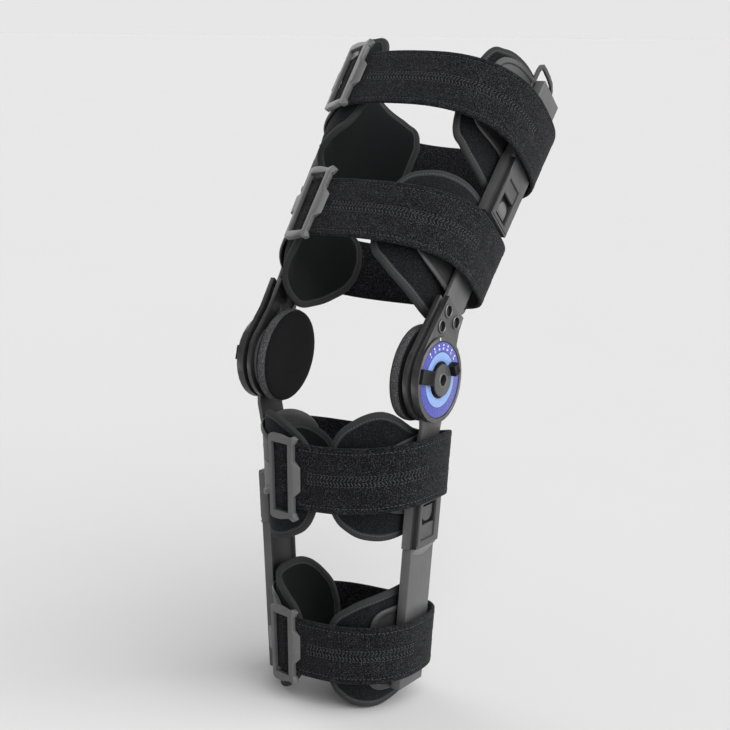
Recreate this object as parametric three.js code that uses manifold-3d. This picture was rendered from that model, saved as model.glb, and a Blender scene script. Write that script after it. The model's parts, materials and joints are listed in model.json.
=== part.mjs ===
// Hinged leg brace: two jointed uprights, padded wings on thigh and calf, and four buckled straps.
// Millimetres, +Z up. The origin is the knee centre, midway between the hinges on their common axis (X).
// -Y is the front of the leg. The thigh half leans back by the flexion angle; the calf half stands upright.
// Each side is drawn with x pointing away from the leg, and the left side is the mirror image of that frame.
import * as THREE from "three";
import { mergeVertices } from "three/addons/utils/BufferGeometryUtils.js";
import Module from "manifold-3d";

const FLEXION_DEG = 43;
const GAP = 0.3;
const ROUND = { cap: 32, pad: 28, bore: 18, rivet: 12 };

// Layers of one hinge, as distances from the knee centre along the hinge axis.
const LAYER = {
  capFace: 88.5,
  neckFace: 86,
  outerPlate: 82,
  leafOuter: 81.7,
  leafInner: 78.2,
  innerPlateOuter: 77.9,
  innerPlate: 74.2,
  backingOuter: 73.9,
  backing: 71.2,
  padOuter: 70.9,
  padInner: 59,
};
const LEAF_MIDDLE = (LAYER.leafOuter + LAYER.leafInner) / 2;

const CAP_RADIUS = 35;
const LEAF_RADIUS = 29;
const BORE_RADIUS = 6.1;
// The neck that carries the thigh bar above the round cap: its front and rear edges up the thigh.
const NECK = [
  { z: 2.5, front: -34.8, rear: 30 },
  { z: 16, front: -34.2, rear: 30 },
  { z: 25.5, front: -33.7, rear: 23.5 },
  { z: 30, front: -33.5, rear: 15 },
  { z: 38, front: -33.1, rear: 6.5 },
  { z: 48, front: -32.6, rear: 2 },
  { z: 60, front: -32, rear: 0 },
];
const RIVET = { radius: 5.7, hole: 4.4, height: 0.7 };
const RIVETS = [
  { y: -25, z: 50 },
  { y: -25, z: 35 },
  { y: -8, z: 50 },
];
const DIAL = { recess: 31.4, floor: 87.2, outer: 31, inner: 15.2, back: 87.5, face: 88.3 };
const HUB = {
  shaft: 5.8, flange: 13.2, under: 89.7, face: 91.2, rim: 6.2, rimFace: 91.6, hole: 4.7, depth: 9,
};
const EXTENSION_STOP = {
  washer: 14.7, bore: 6.4, back: 87.5, front: 88.4, arm: 88.7, face: 91.2, root: 14.1, reach: 33, width: 12,
  angle: 165,
};
const FLEXION_STOP = {
  washer: 13.9, bore: 6.4, back: 88.7, front: 89.4, arm: 88.7, face: 95.5, root: 13.5, reach: 21, width: 9,
  angle: 22,
};
const CONDYLE = { y: 1, z: 5, halfWidth: 35.5, halfHeight: 41, bevel: 4, backing: 31 };

// Uprights: a flat bar in a channel sleeve, with a latch housing at the mouth of the sleeve.
const BAR = { width: 31, thickness: 3.5 };
const SLEEVE = { width: 36, face: 5.25, back: -3.75, wall: 3.2, endWall: 3 };
const HOUSING = { width: 39, face: 7.85, window: 20, windowFloor: 3.05 };
const TONGUE = { length: 15.5, width: 15, face: 6.8, root: 2.55 };
const BUTTON = { length: 12, back: 5.3, clear: 0.35 };

// Each limb: the middle of its bars from front to back, and where bar, housing and window begin and end.
const LIMB = {
  thigh: { away: 1, barY: -13, barFrom: 38, barTo: 250, housing: [147, 205.6], window: [152, 186] },
  calf: { away: -1, barY: 0, barFrom: -20, barTo: -235, housing: [-97, -140.4], window: [-103.5, -134] },
};

// How far the middle of each bar stands out from the leaf's plane, at places along the limb.
const LEAN = {
  thigh: {
    right: [
      { along: 30, out: 0 }, { along: 72, out: 0.4 }, { along: 150, out: 1.8 }, { along: 290, out: 4.9 },
    ],
    left: [{ along: 30, out: 0 }, { along: 150, out: 15.8 }, { along: 290, out: 27.2 }],
  },
  calf: {
    right: [{ along: -38, out: 0 }, { along: -62, out: -4.85 }, { along: -280, out: -23.05 }],
    left: [{ along: -38, out: 0 }, { along: -62, out: -4.9 }, { along: -280, out: -15.6 }],
  },
};
const LEAN_SPAN = 30;
const SLEEVE_END = { thigh: { right: 287, left: 287 }, calf: { right: -265, left: -272 } };

// The four levels where the brace goes round the leg.
// along: middle of the strap. centreY and depth: middle and half depth of the strap's loop.
// strapOut: outer face of the strap on the right.
// frontDrop, rearRise and rightRise: how the strap leaves its level in front, behind and on the right.
// seat: outer face of the wing behind the bar's middle. corner: squareness of the wing's outline.
// pads: where the pad's middle lies along the limb. reach: how far it runs from the bar to front and rear.
// buckle: where the buckle's window sits, as an angle from the right side round the front.
// buckleUp: how far the buckle sits up from the strap's middle.
// boss: where the block between wing and bar begins and ends.
const SQUARE = 5;
const OVAL = 2.4;
const LEVELS = [
  {
    name: "thigh_upper", limb: "thigh", along: 235, strap: 58, centreY: -21, depth: 73, strapOut: 98,
    frontDrop: 0, rearRise: 8, rightRise: -2.5, seat: -4.05, corner: SQUARE, buckle: -120, buckleUp: 4,
    wing: { along: 245, half: 42, front: { right: 66, left: 78 }, rear: 52 },
    pads: { right: 235, left: 235 },
    reach: { right: { front: 80, rear: 74 }, left: { front: 112, rear: 78 } },
  },
  {
    name: "thigh_lower", limb: "thigh", along: 112, strap: 58, centreY: -16, depth: 71, strapOut: 91.4,
    frontDrop: 11, rearRise: 18, rightRise: 0, seat: -2.05, corner: OVAL, buckle: -110, buckleUp: 1,
    wing: { along: 106.7, half: 39.3, front: { right: 74, left: 78 }, rear: 52 },
    pads: { right: 112, left: 112 },
    reach: { right: { front: 104, rear: 66 }, left: { front: 82, rear: 66 } },
  },
  {
    name: "calf_upper", limb: "calf", along: -80.5, strap: 55.5, centreY: -2, depth: 60, strapOut: 87.5,
    frontDrop: 0, rearRise: -9, rightRise: 8.5, seat: -4.05, corner: OVAL, buckle: -100, buckleUp: -2,
    boss: [-66, -82],
    wing: { along: -79, half: 33, front: { right: 56, left: 82 }, rear: 48 },
    pads: { right: -74, left: -85 },
    reach: { right: { front: 93, rear: 62 }, left: { front: 113, rear: 62 } },
  },
  {
    name: "calf_lower", limb: "calf", along: -231, strap: 50, centreY: -2, depth: 52, strapOut: 74.8,
    frontDrop: 0, rearRise: 0, rightRise: 5, seat: -4.05, corner: SQUARE, buckle: -107, buckleUp: 0,
    boss: [-214, -230],
    wing: { along: -228.5, half: 37, front: { right: 42, left: 58 }, rear: 44 },
    pads: { right: -231, left: -231 },
    reach: { right: { front: 83, rear: 56 }, left: { front: 80, rear: 56 } },
  },
];
const LOOP_POWER = 2.6;
const STRAP_THICKNESS = 3;
const STRAP_CLEAR = 0.4;
const WING_THICKNESS = 2.5;
// How much of a wing's reach its plate runs to, and the slot behind the bar of a square-cornered wing.
const WING_RUN = { [SQUARE]: 0.985, [OVAL]: 0.95 };
const WING_SLOT = { fromEnd: 15, toEnd: 7, margin: 11 };
const THROUGH = [-1, WING_THICKNESS + 1];
// The open loop above the end of each thigh sleeve, part of the upper wing.
const TOP_LOOP = { front: -21, rear: 26, from: 268, bottom: 293, to: 308, rail: 5 };
// The boss that joins a calf wing to its bar.
const BOSS = { width: 25, sunk: 1 };
const PAD_CLEAR = 0.7;
const PAD_THICKNESS = 6.5;
// Below this place on the thigh the pads draw in towards the knee.
const TUCK = { along: 85, slope: 0.2 };

// Pad outlines. at: place from the front end (-1) over the bar (0) to the rear end (1).
// knee and far: heights above the level's middle, towards the knee and away from it.
const PAD_OUTLINE = {
  thigh_upper: [
    { at: -1, knee: 14, far: 28 }, { at: -0.93, knee: 36, far: 47 }, { at: -0.75, knee: 50, far: 56 },
    { at: -0.45, knee: 60, far: 59 }, { at: 0, knee: 64, far: 57 }, { at: 0.45, knee: 60, far: 51 },
    { at: 0.75, knee: 48, far: 46 }, { at: 0.93, knee: 30, far: 37 }, { at: 1, knee: 12, far: 22 },
  ],
  thigh_lower: [
    { at: -1, knee: 18, far: 14 }, { at: -0.93, knee: 38, far: 29 }, { at: -0.75, knee: 53, far: 42 },
    { at: -0.45, knee: 64, far: 49 }, { at: 0, knee: 66, far: 48 }, { at: 0.45, knee: 48, far: 46 },
    { at: 0.75, knee: 31, far: 38 }, { at: 0.93, knee: 16, far: 26 }, { at: 1, knee: 4, far: 12 },
  ],
  calf_upper: [
    { at: -1, knee: 8, far: 18 }, { at: -0.93, knee: 26, far: 36 }, { at: -0.75, knee: 43, far: 51 },
    { at: -0.48, knee: 51, far: 58 }, { at: 0, knee: 31, far: 58 }, { at: 0.45, knee: 26, far: 56 },
    { at: 0.75, knee: 17, far: 46 }, { at: 0.93, knee: 6, far: 30 }, { at: 1, knee: -2, far: 16 },
  ],
  calf_lower: [
    { at: -1, knee: 10, far: 12 }, { at: -0.93, knee: 25, far: 28 }, { at: -0.75, knee: 39, far: 42 },
    { at: -0.45, knee: 50, far: 49 }, { at: 0, knee: 54, far: 47 }, { at: 0.45, knee: 50, far: 42 },
    { at: 0.75, knee: 38, far: 32 }, { at: 0.93, knee: 24, far: 20 }, { at: 1, knee: 10, far: 8 },
  ],
};

// Frame buckle on the strap's front, measured along the strap from the window's middle.
const BUCKLE = {
  leftEdge: -16, windowLeft: -13, windowRight: 4.5, postRight: 9.5, tab: 14.5, tabHalf: 10, tabRoot: 15,
  head: 13, headRoot: 8, rail: 8, side: 1, notch: 2, clear: 0.8, thickness: 4,
  lug: 9, lugHalf: 9, lugRoot: 1.5,
};
// The strap starts this far from the window's middle and ends at this angle round the rear.
const STRAP_END = { front: -14.2, rear: 146 };

const MATERIALS = {
  strap: new THREE.MeshStandardMaterial({ color: 0x26262a, roughness: 0.95, metalness: 0 }),
  pad: new THREE.MeshStandardMaterial({ color: 0x1d2226, roughness: 0.9, metalness: 0 }),
  plastic: new THREE.MeshStandardMaterial({ color: 0x55565a, roughness: 0.5, metalness: 0 }),
  bar: new THREE.MeshStandardMaterial({ color: 0x747678, roughness: 0.45, metalness: 0.3 }),
  plate: new THREE.MeshStandardMaterial({ color: 0x5c5d60, roughness: 0.4, metalness: 0.3 }),
  dial: new THREE.MeshStandardMaterial({ color: 0x5c64cd, roughness: 0.35, metalness: 0 }),
  stop: new THREE.MeshStandardMaterial({ color: 0x101012, roughness: 0.25, metalness: 0 }),
};

const wasm = await Module();
wasm.setup();

// Turns a closed geometry round if its faces point inwards.
function facingOut(geometry) {
  const place = geometry.getAttribute("position");
  const index = geometry.index.array;
  const [a, b, c] = [new THREE.Vector3(), new THREE.Vector3(), new THREE.Vector3()];
  let volume = 0;
  for (let i = 0; i < index.length; i += 3) {
    a.fromBufferAttribute(place, index[i]);
    b.fromBufferAttribute(place, index[i + 1]);
    c.fromBufferAttribute(place, index[i + 2]);
    volume += a.dot(b.cross(c));
  }
  if (volume < 0) index.reverse();
  return geometry;
}

function geometryOf(points, triangles) {
  const geometry = new THREE.BufferGeometry().setFromPoints(points);
  geometry.setIndex(new THREE.BufferAttribute(new Uint32Array(triangles), 1));
  return facingOut(geometry);
}

function solidOf(geometry) {
  const bare = geometry.clone();
  bare.deleteAttribute("normal");
  bare.deleteAttribute("uv");
  const merged = mergeVertices(bare, 1e-4);
  return new wasm.Manifold(
    new wasm.Mesh({
      numProp: 3,
      vertProperties: merged.getAttribute("position").array,
      triVerts: new Uint32Array(merged.index.array),
    }),
  );
}

// Joins the first geometry with the added ones and cuts the others out of it.
function combine(base, added, cut) {
  let solid = solidOf(base);
  for (const piece of added) solid = solid.add(solidOf(piece));
  for (const piece of cut) solid = solid.subtract(solidOf(piece));
  const { vertProperties, triVerts } = solid.getMesh();
  const geometry = new THREE.BufferGeometry();
  geometry.setAttribute("position", new THREE.BufferAttribute(vertProperties, 3));
  geometry.setIndex(new THREE.BufferAttribute(triVerts, 1));
  return geometry;
}

// Triangles of a tube of like sections, each a convex ring of so many points, closed at both ends.
function tubeTriangles(around, sections) {
  const triangles = [];
  for (let section = 0; section < sections - 1; section += 1) {
    for (let i = 0; i < around; i += 1) {
      const [a, b] = [section * around + i, section * around + ((i + 1) % around)];
      triangles.push(a, b, a + around, b, b + around, a + around);
    }
  }
  const last = (sections - 1) * around;
  for (let i = 1; i < around - 1; i += 1) triangles.push(0, i + 1, i, last, last + i, last + i + 1);
  return triangles;
}

function between(rows, key, value, at) {
  let i = 0;
  while (i < rows.length - 2 && (rows[i + 1][key] - at) * (rows[1][key] - rows[0][key]) < 0) i += 1;
  const [a, b] = [rows[i], rows[i + 1]];
  const share = (at - a[key]) / (b[key] - a[key]);
  return a[value] + (b[value] - a[value]) * share;
}

// Distance of a bar's middle from the knee centre, straight over the joint before its first bend.
function barMiddle(limb, side, along) {
  const rows = LEAN[limb][side];
  if ((along - rows[0].along) * LIMB[limb].away < 0) return LEAF_MIDDLE;
  return LEAF_MIDDLE + between(rows, "along", "out", along);
}

function discOf(radius, from, to, sides, y = 0, z = 0) {
  const geometry = new THREE.CylinderGeometry(radius, radius, to - from, sides).rotateZ(-Math.PI / 2);
  return geometry.translate((from + to) / 2, y, z);
}

function boxOf(x, y, z) {
  const geometry = new THREE.BoxGeometry(x[1] - x[0], y[1] - y[0], z[1] - z[0]);
  return geometry.translate((x[0] + x[1]) / 2, (y[0] + y[1]) / 2, (z[0] + z[1]) / 2);
}

// A section of (out, y) points carried along an upright, following its lean.
function sweepUpright(limb, side, section, places) {
  const count = section.length;
  const points = [];
  for (const along of places) {
    const middle = barMiddle(limb, side, along);
    for (const [out, y] of section) points.push(new THREE.Vector3(middle + out, LIMB[limb].barY + y, along));
  }
  const triangles = [];
  for (let step = 0; step < places.length - 1; step += 1) {
    for (let i = 0; i < count; i += 1) {
      const [a, b] = [step * count + i, step * count + ((i + 1) % count)];
      triangles.push(a, b, a + count, b, b + count, a + count);
    }
  }
  const outline = section.map(([out, y]) => new THREE.Vector2(out, y));
  const last = (places.length - 1) * count;
  for (const [a, b, c] of THREE.ShapeUtils.triangulateShape(outline, [])) {
    triangles.push(a, c, b, last + a, last + b, last + c);
  }
  return geometryOf(points, triangles);
}

function blockSection(back, face, width) {
  return [[back, -width / 2], [face, -width / 2], [face, width / 2], [back, width / 2]];
}

function channelSection(back, face, width, floor) {
  const slot = BAR.width / 2 + GAP;
  const half = width / 2;
  return [
    [back, -half], [face, -half], [face, half], [back, half],
    [back, slot], [floor, slot], [floor, -slot], [back, -slot],
  ];
}

function bendsBetween(limb, side, from, to) {
  const low = Math.min(from, to);
  const high = Math.max(from, to);
  const bends = LEAN[limb][side].map((row) => row.along).filter((along) => along > low && along < high);
  return [from, ...bends, to];
}

// The neck of a hinge plate, leaning out with the bar that it holds.
function neckGeometry(side, from, to) {
  const points = NECK.flatMap(({ z, front, rear }) => {
    const out = barMiddle("thigh", side, z) - LEAF_MIDDLE;
    const corners = [[from, front], [to, front], [to, rear], [from, rear]];
    return corners.map(([x, y]) => new THREE.Vector3(x + out, y, z));
  });
  return geometryOf(points, tubeTriangles(4, NECK.length));
}

function hingeOuterPlate(side) {
  const lean = (z) => barMiddle("thigh", side, z) - LEAF_MIDDLE;
  const face = LAYER.neckFace + RIVET.height;
  const eyelets = RIVETS.map(({ y, z }) => {
    return discOf(RIVET.radius, LAYER.neckFace - 1 + lean(z), face + lean(z), ROUND.rivet, y, z);
  });
  const holes = RIVETS.map(({ y, z }) => {
    return discOf(RIVET.hole, LAYER.outerPlate - 1, face + 1 + lean(z), ROUND.rivet, y, z);
  });
  const neck = neckGeometry(side, LAYER.outerPlate, LAYER.neckFace);
  const cap = discOf(CAP_RADIUS, LAYER.outerPlate, LAYER.capFace, ROUND.cap);
  const recess = discOf(DIAL.recess, DIAL.floor, LAYER.capFace + 1, ROUND.cap);
  const bore = discOf(BORE_RADIUS, LAYER.outerPlate - 1, LAYER.capFace + 1, ROUND.bore);
  return combine(cap, [neck, ...eyelets], [recess, bore, ...holes]);
}

function hingeInnerPlate(side) {
  const holes = RIVETS.map(({ y, z }) => {
    return discOf(RIVET.hole, LAYER.innerPlate - 1, LAYER.capFace, ROUND.rivet, y, z);
  });
  const disc = discOf(CAP_RADIUS, LAYER.innerPlate, LAYER.innerPlateOuter, ROUND.cap);
  const bore = discOf(BORE_RADIUS, LAYER.innerPlate - 1, LAYER.leafInner, ROUND.bore);
  return combine(disc, [neckGeometry(side, LAYER.innerPlate, LAYER.innerPlateOuter)], [bore, ...holes]);
}

function ringOf(outer, inner, from, to, sides) {
  return combine(discOf(outer, from, to, sides), [], [discOf(inner, from - 1, to + 1, sides)]);
}

function hubGeometry() {
  const profile = [
    [0, LAYER.innerPlate + GAP], [HUB.shaft, LAYER.innerPlate + GAP],
    [HUB.shaft, HUB.under], [HUB.flange, HUB.under], [HUB.flange, HUB.face], [HUB.rim, HUB.face],
    [HUB.rim, HUB.rimFace], [HUB.hole, HUB.rimFace], [HUB.hole, HUB.rimFace - HUB.depth],
    [0, HUB.rimFace - HUB.depth],
  ].map(([radius, x]) => new THREE.Vector2(radius, x));
  return new THREE.LatheGeometry(profile, ROUND.bore).rotateZ(-Math.PI / 2);
}

// A stop: a washer under the hub's flange with an arm that reaches out over the dial.
function stopGeometry(stop) {
  const half = stop.width / 2;
  const arm = boxOf([stop.arm, stop.face], [stop.root, stop.reach], [-half, half]);
  const root = boxOf([stop.back, stop.face], [stop.root, stop.washer], [-half / 2, half / 2]);
  const washer = ringOf(stop.washer, stop.bore, stop.back, stop.front, ROUND.bore);
  const geometry = combine(washer, [root, arm], []);
  return geometry.rotateX(THREE.MathUtils.degToRad(stop.angle + FLEXION_DEG));
}

// The knee pad: an oval cushion, bevelled on both faces.
function condylePad() {
  const { y, z, halfWidth, halfHeight, bevel } = CONDYLE;
  const { padInner, padOuter } = LAYER;
  const rings = [
    { x: padInner, inset: bevel },
    { x: padInner + bevel / 2, inset: bevel / 4 },
    { x: (padInner + padOuter) / 2, inset: 0 },
    { x: padOuter - bevel / 2, inset: bevel / 4 },
    { x: padOuter, inset: bevel },
  ];
  const section = (inset) => {
    const oval = new THREE.EllipseCurve(y, z, halfWidth - inset, halfHeight - inset);
    return oval.getPoints(ROUND.pad).slice(0, ROUND.pad);
  };
  const points = rings.flatMap(({ x, inset }) => section(inset).map((p) => new THREE.Vector3(x, p.x, p.y)));
  return geometryOf(points, tubeTriangles(ROUND.pad, rings.length));
}

function barStrip(limb, side) {
  const section = blockSection(-BAR.thickness / 2, BAR.thickness / 2, BAR.width);
  const { barFrom, barTo } = LIMB[limb];
  return sweepUpright(limb, side, section, bendsBetween(limb, side, barFrom, barTo));
}

// The calf bar: its strip joined to the round leaf that turns between the hinge plates.
function calfBar(side) {
  const leaf = discOf(LEAF_RADIUS, LAYER.leafInner, LAYER.leafOuter, ROUND.pad);
  const bore = discOf(BORE_RADIUS, LAYER.leafInner - 1, LAYER.leafOuter + 1, ROUND.bore);
  return combine(barStrip("calf", side), [leaf], [bore]);
}

function extension(limb, side) {
  const end = SLEEVE_END[limb][side];
  const start = LIMB[limb].housing[1] + GAP * LIMB[limb].away;
  const wall = end - SLEEVE.endWall * LIMB[limb].away;
  const floor = SLEEVE.face - SLEEVE.wall;
  const channel = channelSection(SLEEVE.back, SLEEVE.face, SLEEVE.width, floor);
  const closed = blockSection(SLEEVE.back, SLEEVE.face, SLEEVE.width);
  const sleeve = sweepUpright(limb, side, channel, [start, wall]);
  return combine(sleeve, [sweepUpright(limb, side, closed, [wall, end])], []);
}

// Where the latch's window lies along the housing, with the tongue at its knee end and the button beyond.
function latchPlaces(limb) {
  const { away, window } = LIMB[limb];
  const [near, far] = window;
  const buttonEnd = far - BUTTON.clear * away;
  return {
    window,
    tongue: [near, near + TONGUE.length * away],
    button: [buttonEnd - BUTTON.length * away, buttonEnd],
  };
}

function latchHousing(limb, side) {
  const { housing } = LIMB[limb];
  const places = latchPlaces(limb);
  const floor = SLEEVE.face - SLEEVE.wall;
  const outline = channelSection(SLEEVE.back, HOUSING.face, HOUSING.width, floor);
  const window = blockSection(HOUSING.windowFloor, HOUSING.face + 1, HOUSING.window);
  const tongue = blockSection(TONGUE.root, TONGUE.face, TONGUE.width);
  const body = sweepUpright(limb, side, outline, housing);
  const opened = combine(body, [], [sweepUpright(limb, side, window, places.window)]);
  return combine(opened, [sweepUpright(limb, side, tongue, places.tongue)], []);
}

function latchButton(limb, side) {
  const section = blockSection(BUTTON.back, HOUSING.face, HOUSING.window - 2 * BUTTON.clear);
  return sweepUpright(limb, side, section, latchPlaces(limb).button);
}

// A loop round the leg: half width on each side, half depth and middle, measured by length from the bar.
function loopCurve(halfRight, halfLeft, depth, centreY, startY) {
  const steps = 720;
  const power = 2 / LOOP_POWER;
  const points = [];
  for (let i = 0; i <= steps; i += 1) {
    const turn = -Math.PI + (2 * Math.PI * i) / steps;
    const [c, s] = [Math.cos(turn), Math.sin(turn)];
    const half = c >= 0 ? halfRight : halfLeft;
    const x = half * Math.sign(c) * Math.abs(c) ** power;
    points.push({ turn, x, y: centreY + depth * Math.sign(s) * Math.abs(s) ** power, length: 0 });
  }
  for (let i = 1; i <= steps; i += 1) {
    const [a, b] = [points[i - 1], points[i]];
    b.length = a.length + Math.hypot(b.x - a.x, b.y - a.y);
  }
  const rightHalf = points.filter((point) => point.x > halfRight / 2);
  const start = between(rightHalf, "y", "length", startY);
  const lengthAt = (turn) => between(points, "turn", "length", turn) - start;
  const coordinate = (key, length) => between(points, "length", key, start + length);
  const ahead = 2;
  const at = (length) => {
    const dx = coordinate("x", length + ahead) - coordinate("x", length - ahead);
    const dy = coordinate("y", length + ahead) - coordinate("y", length - ahead);
    const size = Math.hypot(dx, dy);
    return { x: coordinate("x", length), y: coordinate("y", length), outX: dy / size, outY: -dx / size };
  };
  return { at, lengthAt };
}

// A bent sheet with thickness: place(column, row, face) gives a point on the outer (0) or inner (1) face.
function sheetGeometry(columns, rows, place) {
  const points = [];
  for (const face of [0, 1]) {
    for (let column = 0; column <= columns; column += 1) {
      for (let row = 0; row <= rows; row += 1) points.push(place(column, row, face));
    }
  }
  const stride = rows + 1;
  const back = (columns + 1) * stride;
  const triangles = [];
  const quad = (a, b, c, d) => triangles.push(a, b, c, a, c, d);
  for (let column = 0; column < columns; column += 1) {
    for (let row = 0; row < rows; row += 1) {
      const a = column * stride + row;
      quad(a, a + stride, a + stride + 1, a + 1);
      quad(back + a, back + a + 1, back + a + stride + 1, back + a + stride);
    }
  }
  for (let column = 0; column < columns; column += 1) {
    const low = column * stride;
    const high = low + rows;
    quad(low, back + low, back + low + stride, low + stride);
    quad(high, high + stride, back + high + stride, back + high);
  }
  for (let row = 0; row < rows; row += 1) {
    const first = row;
    const last = columns * stride + row;
    quad(first, first + 1, back + first + 1, back + first);
    quad(last, back + last, back + last + 1, last + 1);
  }
  return geometryOf(points, triangles);
}

// How the wall of a level leans out along the limb, as the bars beyond it do.
function wallLean(level, side) {
  const span = LEAN_SPAN * LIMB[level.limb].away;
  const beyond = barMiddle(level.limb, side, level.along + span);
  return (beyond - barMiddle(level.limb, side, level.along)) / span;
}

// The wall of one side at a level: a point at a length from the bar, a place along the limb and an outset.
function sideWall(level, side, tuckSlope) {
  const { limb, along, seat, centreY, depth } = level;
  const wingFace = barMiddle(limb, side, along) + seat;
  const wingDepth = depth - STRAP_THICKNESS - STRAP_CLEAR;
  const curve = loopCurve(wingFace, wingFace, wingDepth, centreY, LIMB[limb].barY);
  const lean = wallLean(level, side);
  return (length, place, inset) => {
    const { x, y, outX, outY } = curve.at(length);
    const tuck = Math.max(0, TUCK.along - place) * tuckSlope;
    const shift = (lean * (place - along) - tuck) * (x / wingFace);
    return new THREE.Vector3(x - inset * outX + shift, y - inset * outY, place);
  };
}

function padGeometry(level, side) {
  const wall = sideWall(level, side, level.limb === "thigh" ? TUCK.slope : 0);
  const outline = PAD_OUTLINE[level.name];
  const places = outline.map((row) => row.at);
  const knee = new THREE.CubicInterpolant(places, outline.map((row) => row.knee), 1);
  const far = new THREE.CubicInterpolant(places, outline.map((row) => row.far), 1);
  const { away } = LIMB[level.limb];
  const { front, rear } = level.reach[side];
  const [columns, rows] = [18, 3];
  return sheetGeometry(columns, rows, (column, row, face) => {
    const at = Math.sin(((column / columns) * 2 - 1) * Math.PI / 2);
    const length = at < 0 ? at * front : at * rear;
    const near = -knee.evaluate(at)[0];
    const height = near + (far.evaluate(at)[0] - near) * (row / rows);
    const inset = WING_THICKNESS + PAD_CLEAR + face * PAD_THICKNESS;
    return wall(length, level.pads[side] + away * height, inset);
  });
}

// A four-sided patch of a wall, between two lengths, two places along the limb and two insets.
function patchOf(wall, lengths, places, insets) {
  const columns = 6;
  return sheetGeometry(columns, 1, (column, row, face) => {
    const length = lengths[0] + ((lengths[1] - lengths[0]) * column) / columns;
    return wall(length, places[row], insets[face]);
  });
}

// The wing: a moulded plate behind the bar, with a slot in its square-cornered form.
function carrierGeometry(level, side) {
  const wall = sideWall(level, side, 0);
  const { wing, corner, limb } = level;
  const [columns, rows] = [14, 2];
  const plate = sheetGeometry(columns, rows, (column, row, face) => {
    const at = Math.sin(((column / columns) * 2 - 1) * Math.PI / 2) * WING_RUN[corner];
    const length = at < 0 ? at * wing.front[side] : at * wing.rear;
    const half = wing.half * (1 - Math.abs(at) ** corner) ** (1 / corner);
    return wall(length, wing.along + half * ((2 * row) / rows - 1), face * WING_THICKNESS);
  });
  const added = [];
  const cut = [];
  if (corner === SQUARE) {
    const half = wing.half - WING_SLOT.margin;
    const across = [wing.rear - WING_SLOT.fromEnd, wing.rear - WING_SLOT.toEnd];
    cut.push(patchOf(wall, across, [wing.along - half, wing.along + half], THROUGH));
  }
  if (level.name === "thigh_upper") {
    const { front, rear, from, bottom, to, rail } = TOP_LOOP;
    added.push(patchOf(wall, [front, rear], [from, to], [0, WING_THICKNESS]));
    cut.push(patchOf(wall, [front + rail, rear - rail], [bottom, to - rail], THROUGH));
  }
  if (level.boss) {
    const section = blockSection(level.seat - BOSS.sunk, -BAR.thickness / 2 - GAP, BOSS.width);
    added.push(sweepUpright(limb, side, section, level.boss));
  }
  return combine(plate, added, cut);
}

// Half widths of a strap's loop, from the middle of the leg to its outer face on each side.
function strapHalves(level) {
  const left = barMiddle(level.limb, "left", level.along) + level.seat + STRAP_CLEAR + STRAP_THICKNESS;
  return { right: level.strapOut, left };
}

function strapLoop(level) {
  const { right, left } = strapHalves(level);
  return loopCurve(right, left, level.depth, level.centreY, LIMB[level.limb].barY);
}

// A point of the strap's loop, moved out by some distance and along the limb by a height from its middle.
function onStrap(level, point, out, height) {
  const along = level.along + strapRise(level, point) + height;
  const side = point.x > 0 ? "right" : "left";
  const lean = wallLean(level, side) * (along - level.along) / strapHalves(level)[side];
  const x = point.x * (1 + lean) + out * point.outX;
  return new THREE.Vector3(x, point.y + out * point.outY, along);
}

// How far along the limb the strap's middle lies from its level, at a point of the loop.
function strapRise(level, { x, y }) {
  const share = (y - level.centreY) / level.depth;
  const rightShare = Math.max(0, x / level.strapOut);
  const endRise = share < 0 ? -level.frontDrop : level.rearRise;
  return endRise * share * share + level.rightRise * rightShare * rightShare;
}

function strapGeometry(level) {
  const loop = strapLoop(level);
  const middle = loop.lengthAt(THREE.MathUtils.degToRad(level.buckle));
  const from = middle + STRAP_END.front;
  const to = loop.lengthAt(THREE.MathUtils.degToRad(STRAP_END.rear));
  const columns = 40;
  return sheetGeometry(columns, 1, (column, row, face) => {
    const point = loop.at(from + ((to - from) * column) / columns);
    return onStrap(level, point, -face * STRAP_THICKNESS, level.strap * (row - 0.5));
  });
}

function buckleOutline(level) {
  const half = level.strap / 2 + BUCKLE.rail;
  const inside = level.strap / 2 + BUCKLE.side;
  const { leftEdge, windowLeft, windowRight, postRight, notch } = BUCKLE;
  const { tab, tabHalf, tabRoot, head, headRoot } = BUCKLE;
  const railMiddle = (windowLeft + windowRight) / 2;
  const shape = new THREE.Shape();
  shape.moveTo(leftEdge, -half + notch);
  shape.lineTo(windowLeft, -half);
  shape.lineTo(railMiddle, -half + notch);
  shape.lineTo(windowRight, -half + notch);
  shape.lineTo(postRight, -half);
  shape.lineTo(head, -half + notch);
  shape.lineTo(postRight, -half + headRoot);
  shape.lineTo(postRight, -tabRoot);
  shape.lineTo(tab, -tabHalf);
  shape.lineTo(tab, tabHalf);
  shape.lineTo(postRight, tabRoot);
  shape.lineTo(postRight, half - headRoot);
  shape.lineTo(head, half - notch);
  shape.lineTo(postRight, half);
  shape.lineTo(windowRight, half - notch);
  shape.lineTo(railMiddle, half - notch);
  shape.lineTo(windowLeft, half);
  shape.lineTo(leftEdge, half - notch);
  shape.closePath();
  const window = new THREE.Path();
  window.moveTo(windowLeft, -inside);
  window.lineTo(windowLeft, inside);
  window.lineTo(railMiddle, inside);
  window.lineTo(windowRight, inside);
  window.lineTo(windowRight, -inside);
  window.lineTo(railMiddle, -inside);
  window.closePath();
  shape.holes.push(window);
  return shape;
}

// Bends a flat piece, drawn along the strap, across it and out from its outer face, onto the strap's loop.
function bendOntoStrap(geometry, level) {
  const loop = strapLoop(level);
  const middle = loop.lengthAt(THREE.MathUtils.degToRad(level.buckle));
  const place = geometry.getAttribute("position");
  for (let i = 0; i < place.count; i += 1) {
    const point = loop.at(middle + place.getX(i));
    const { x, y, z } = onStrap(level, point, place.getZ(i), place.getY(i) + level.buckleUp);
    place.setXYZ(i, x, y, z);
  }
  return geometry;
}

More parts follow.
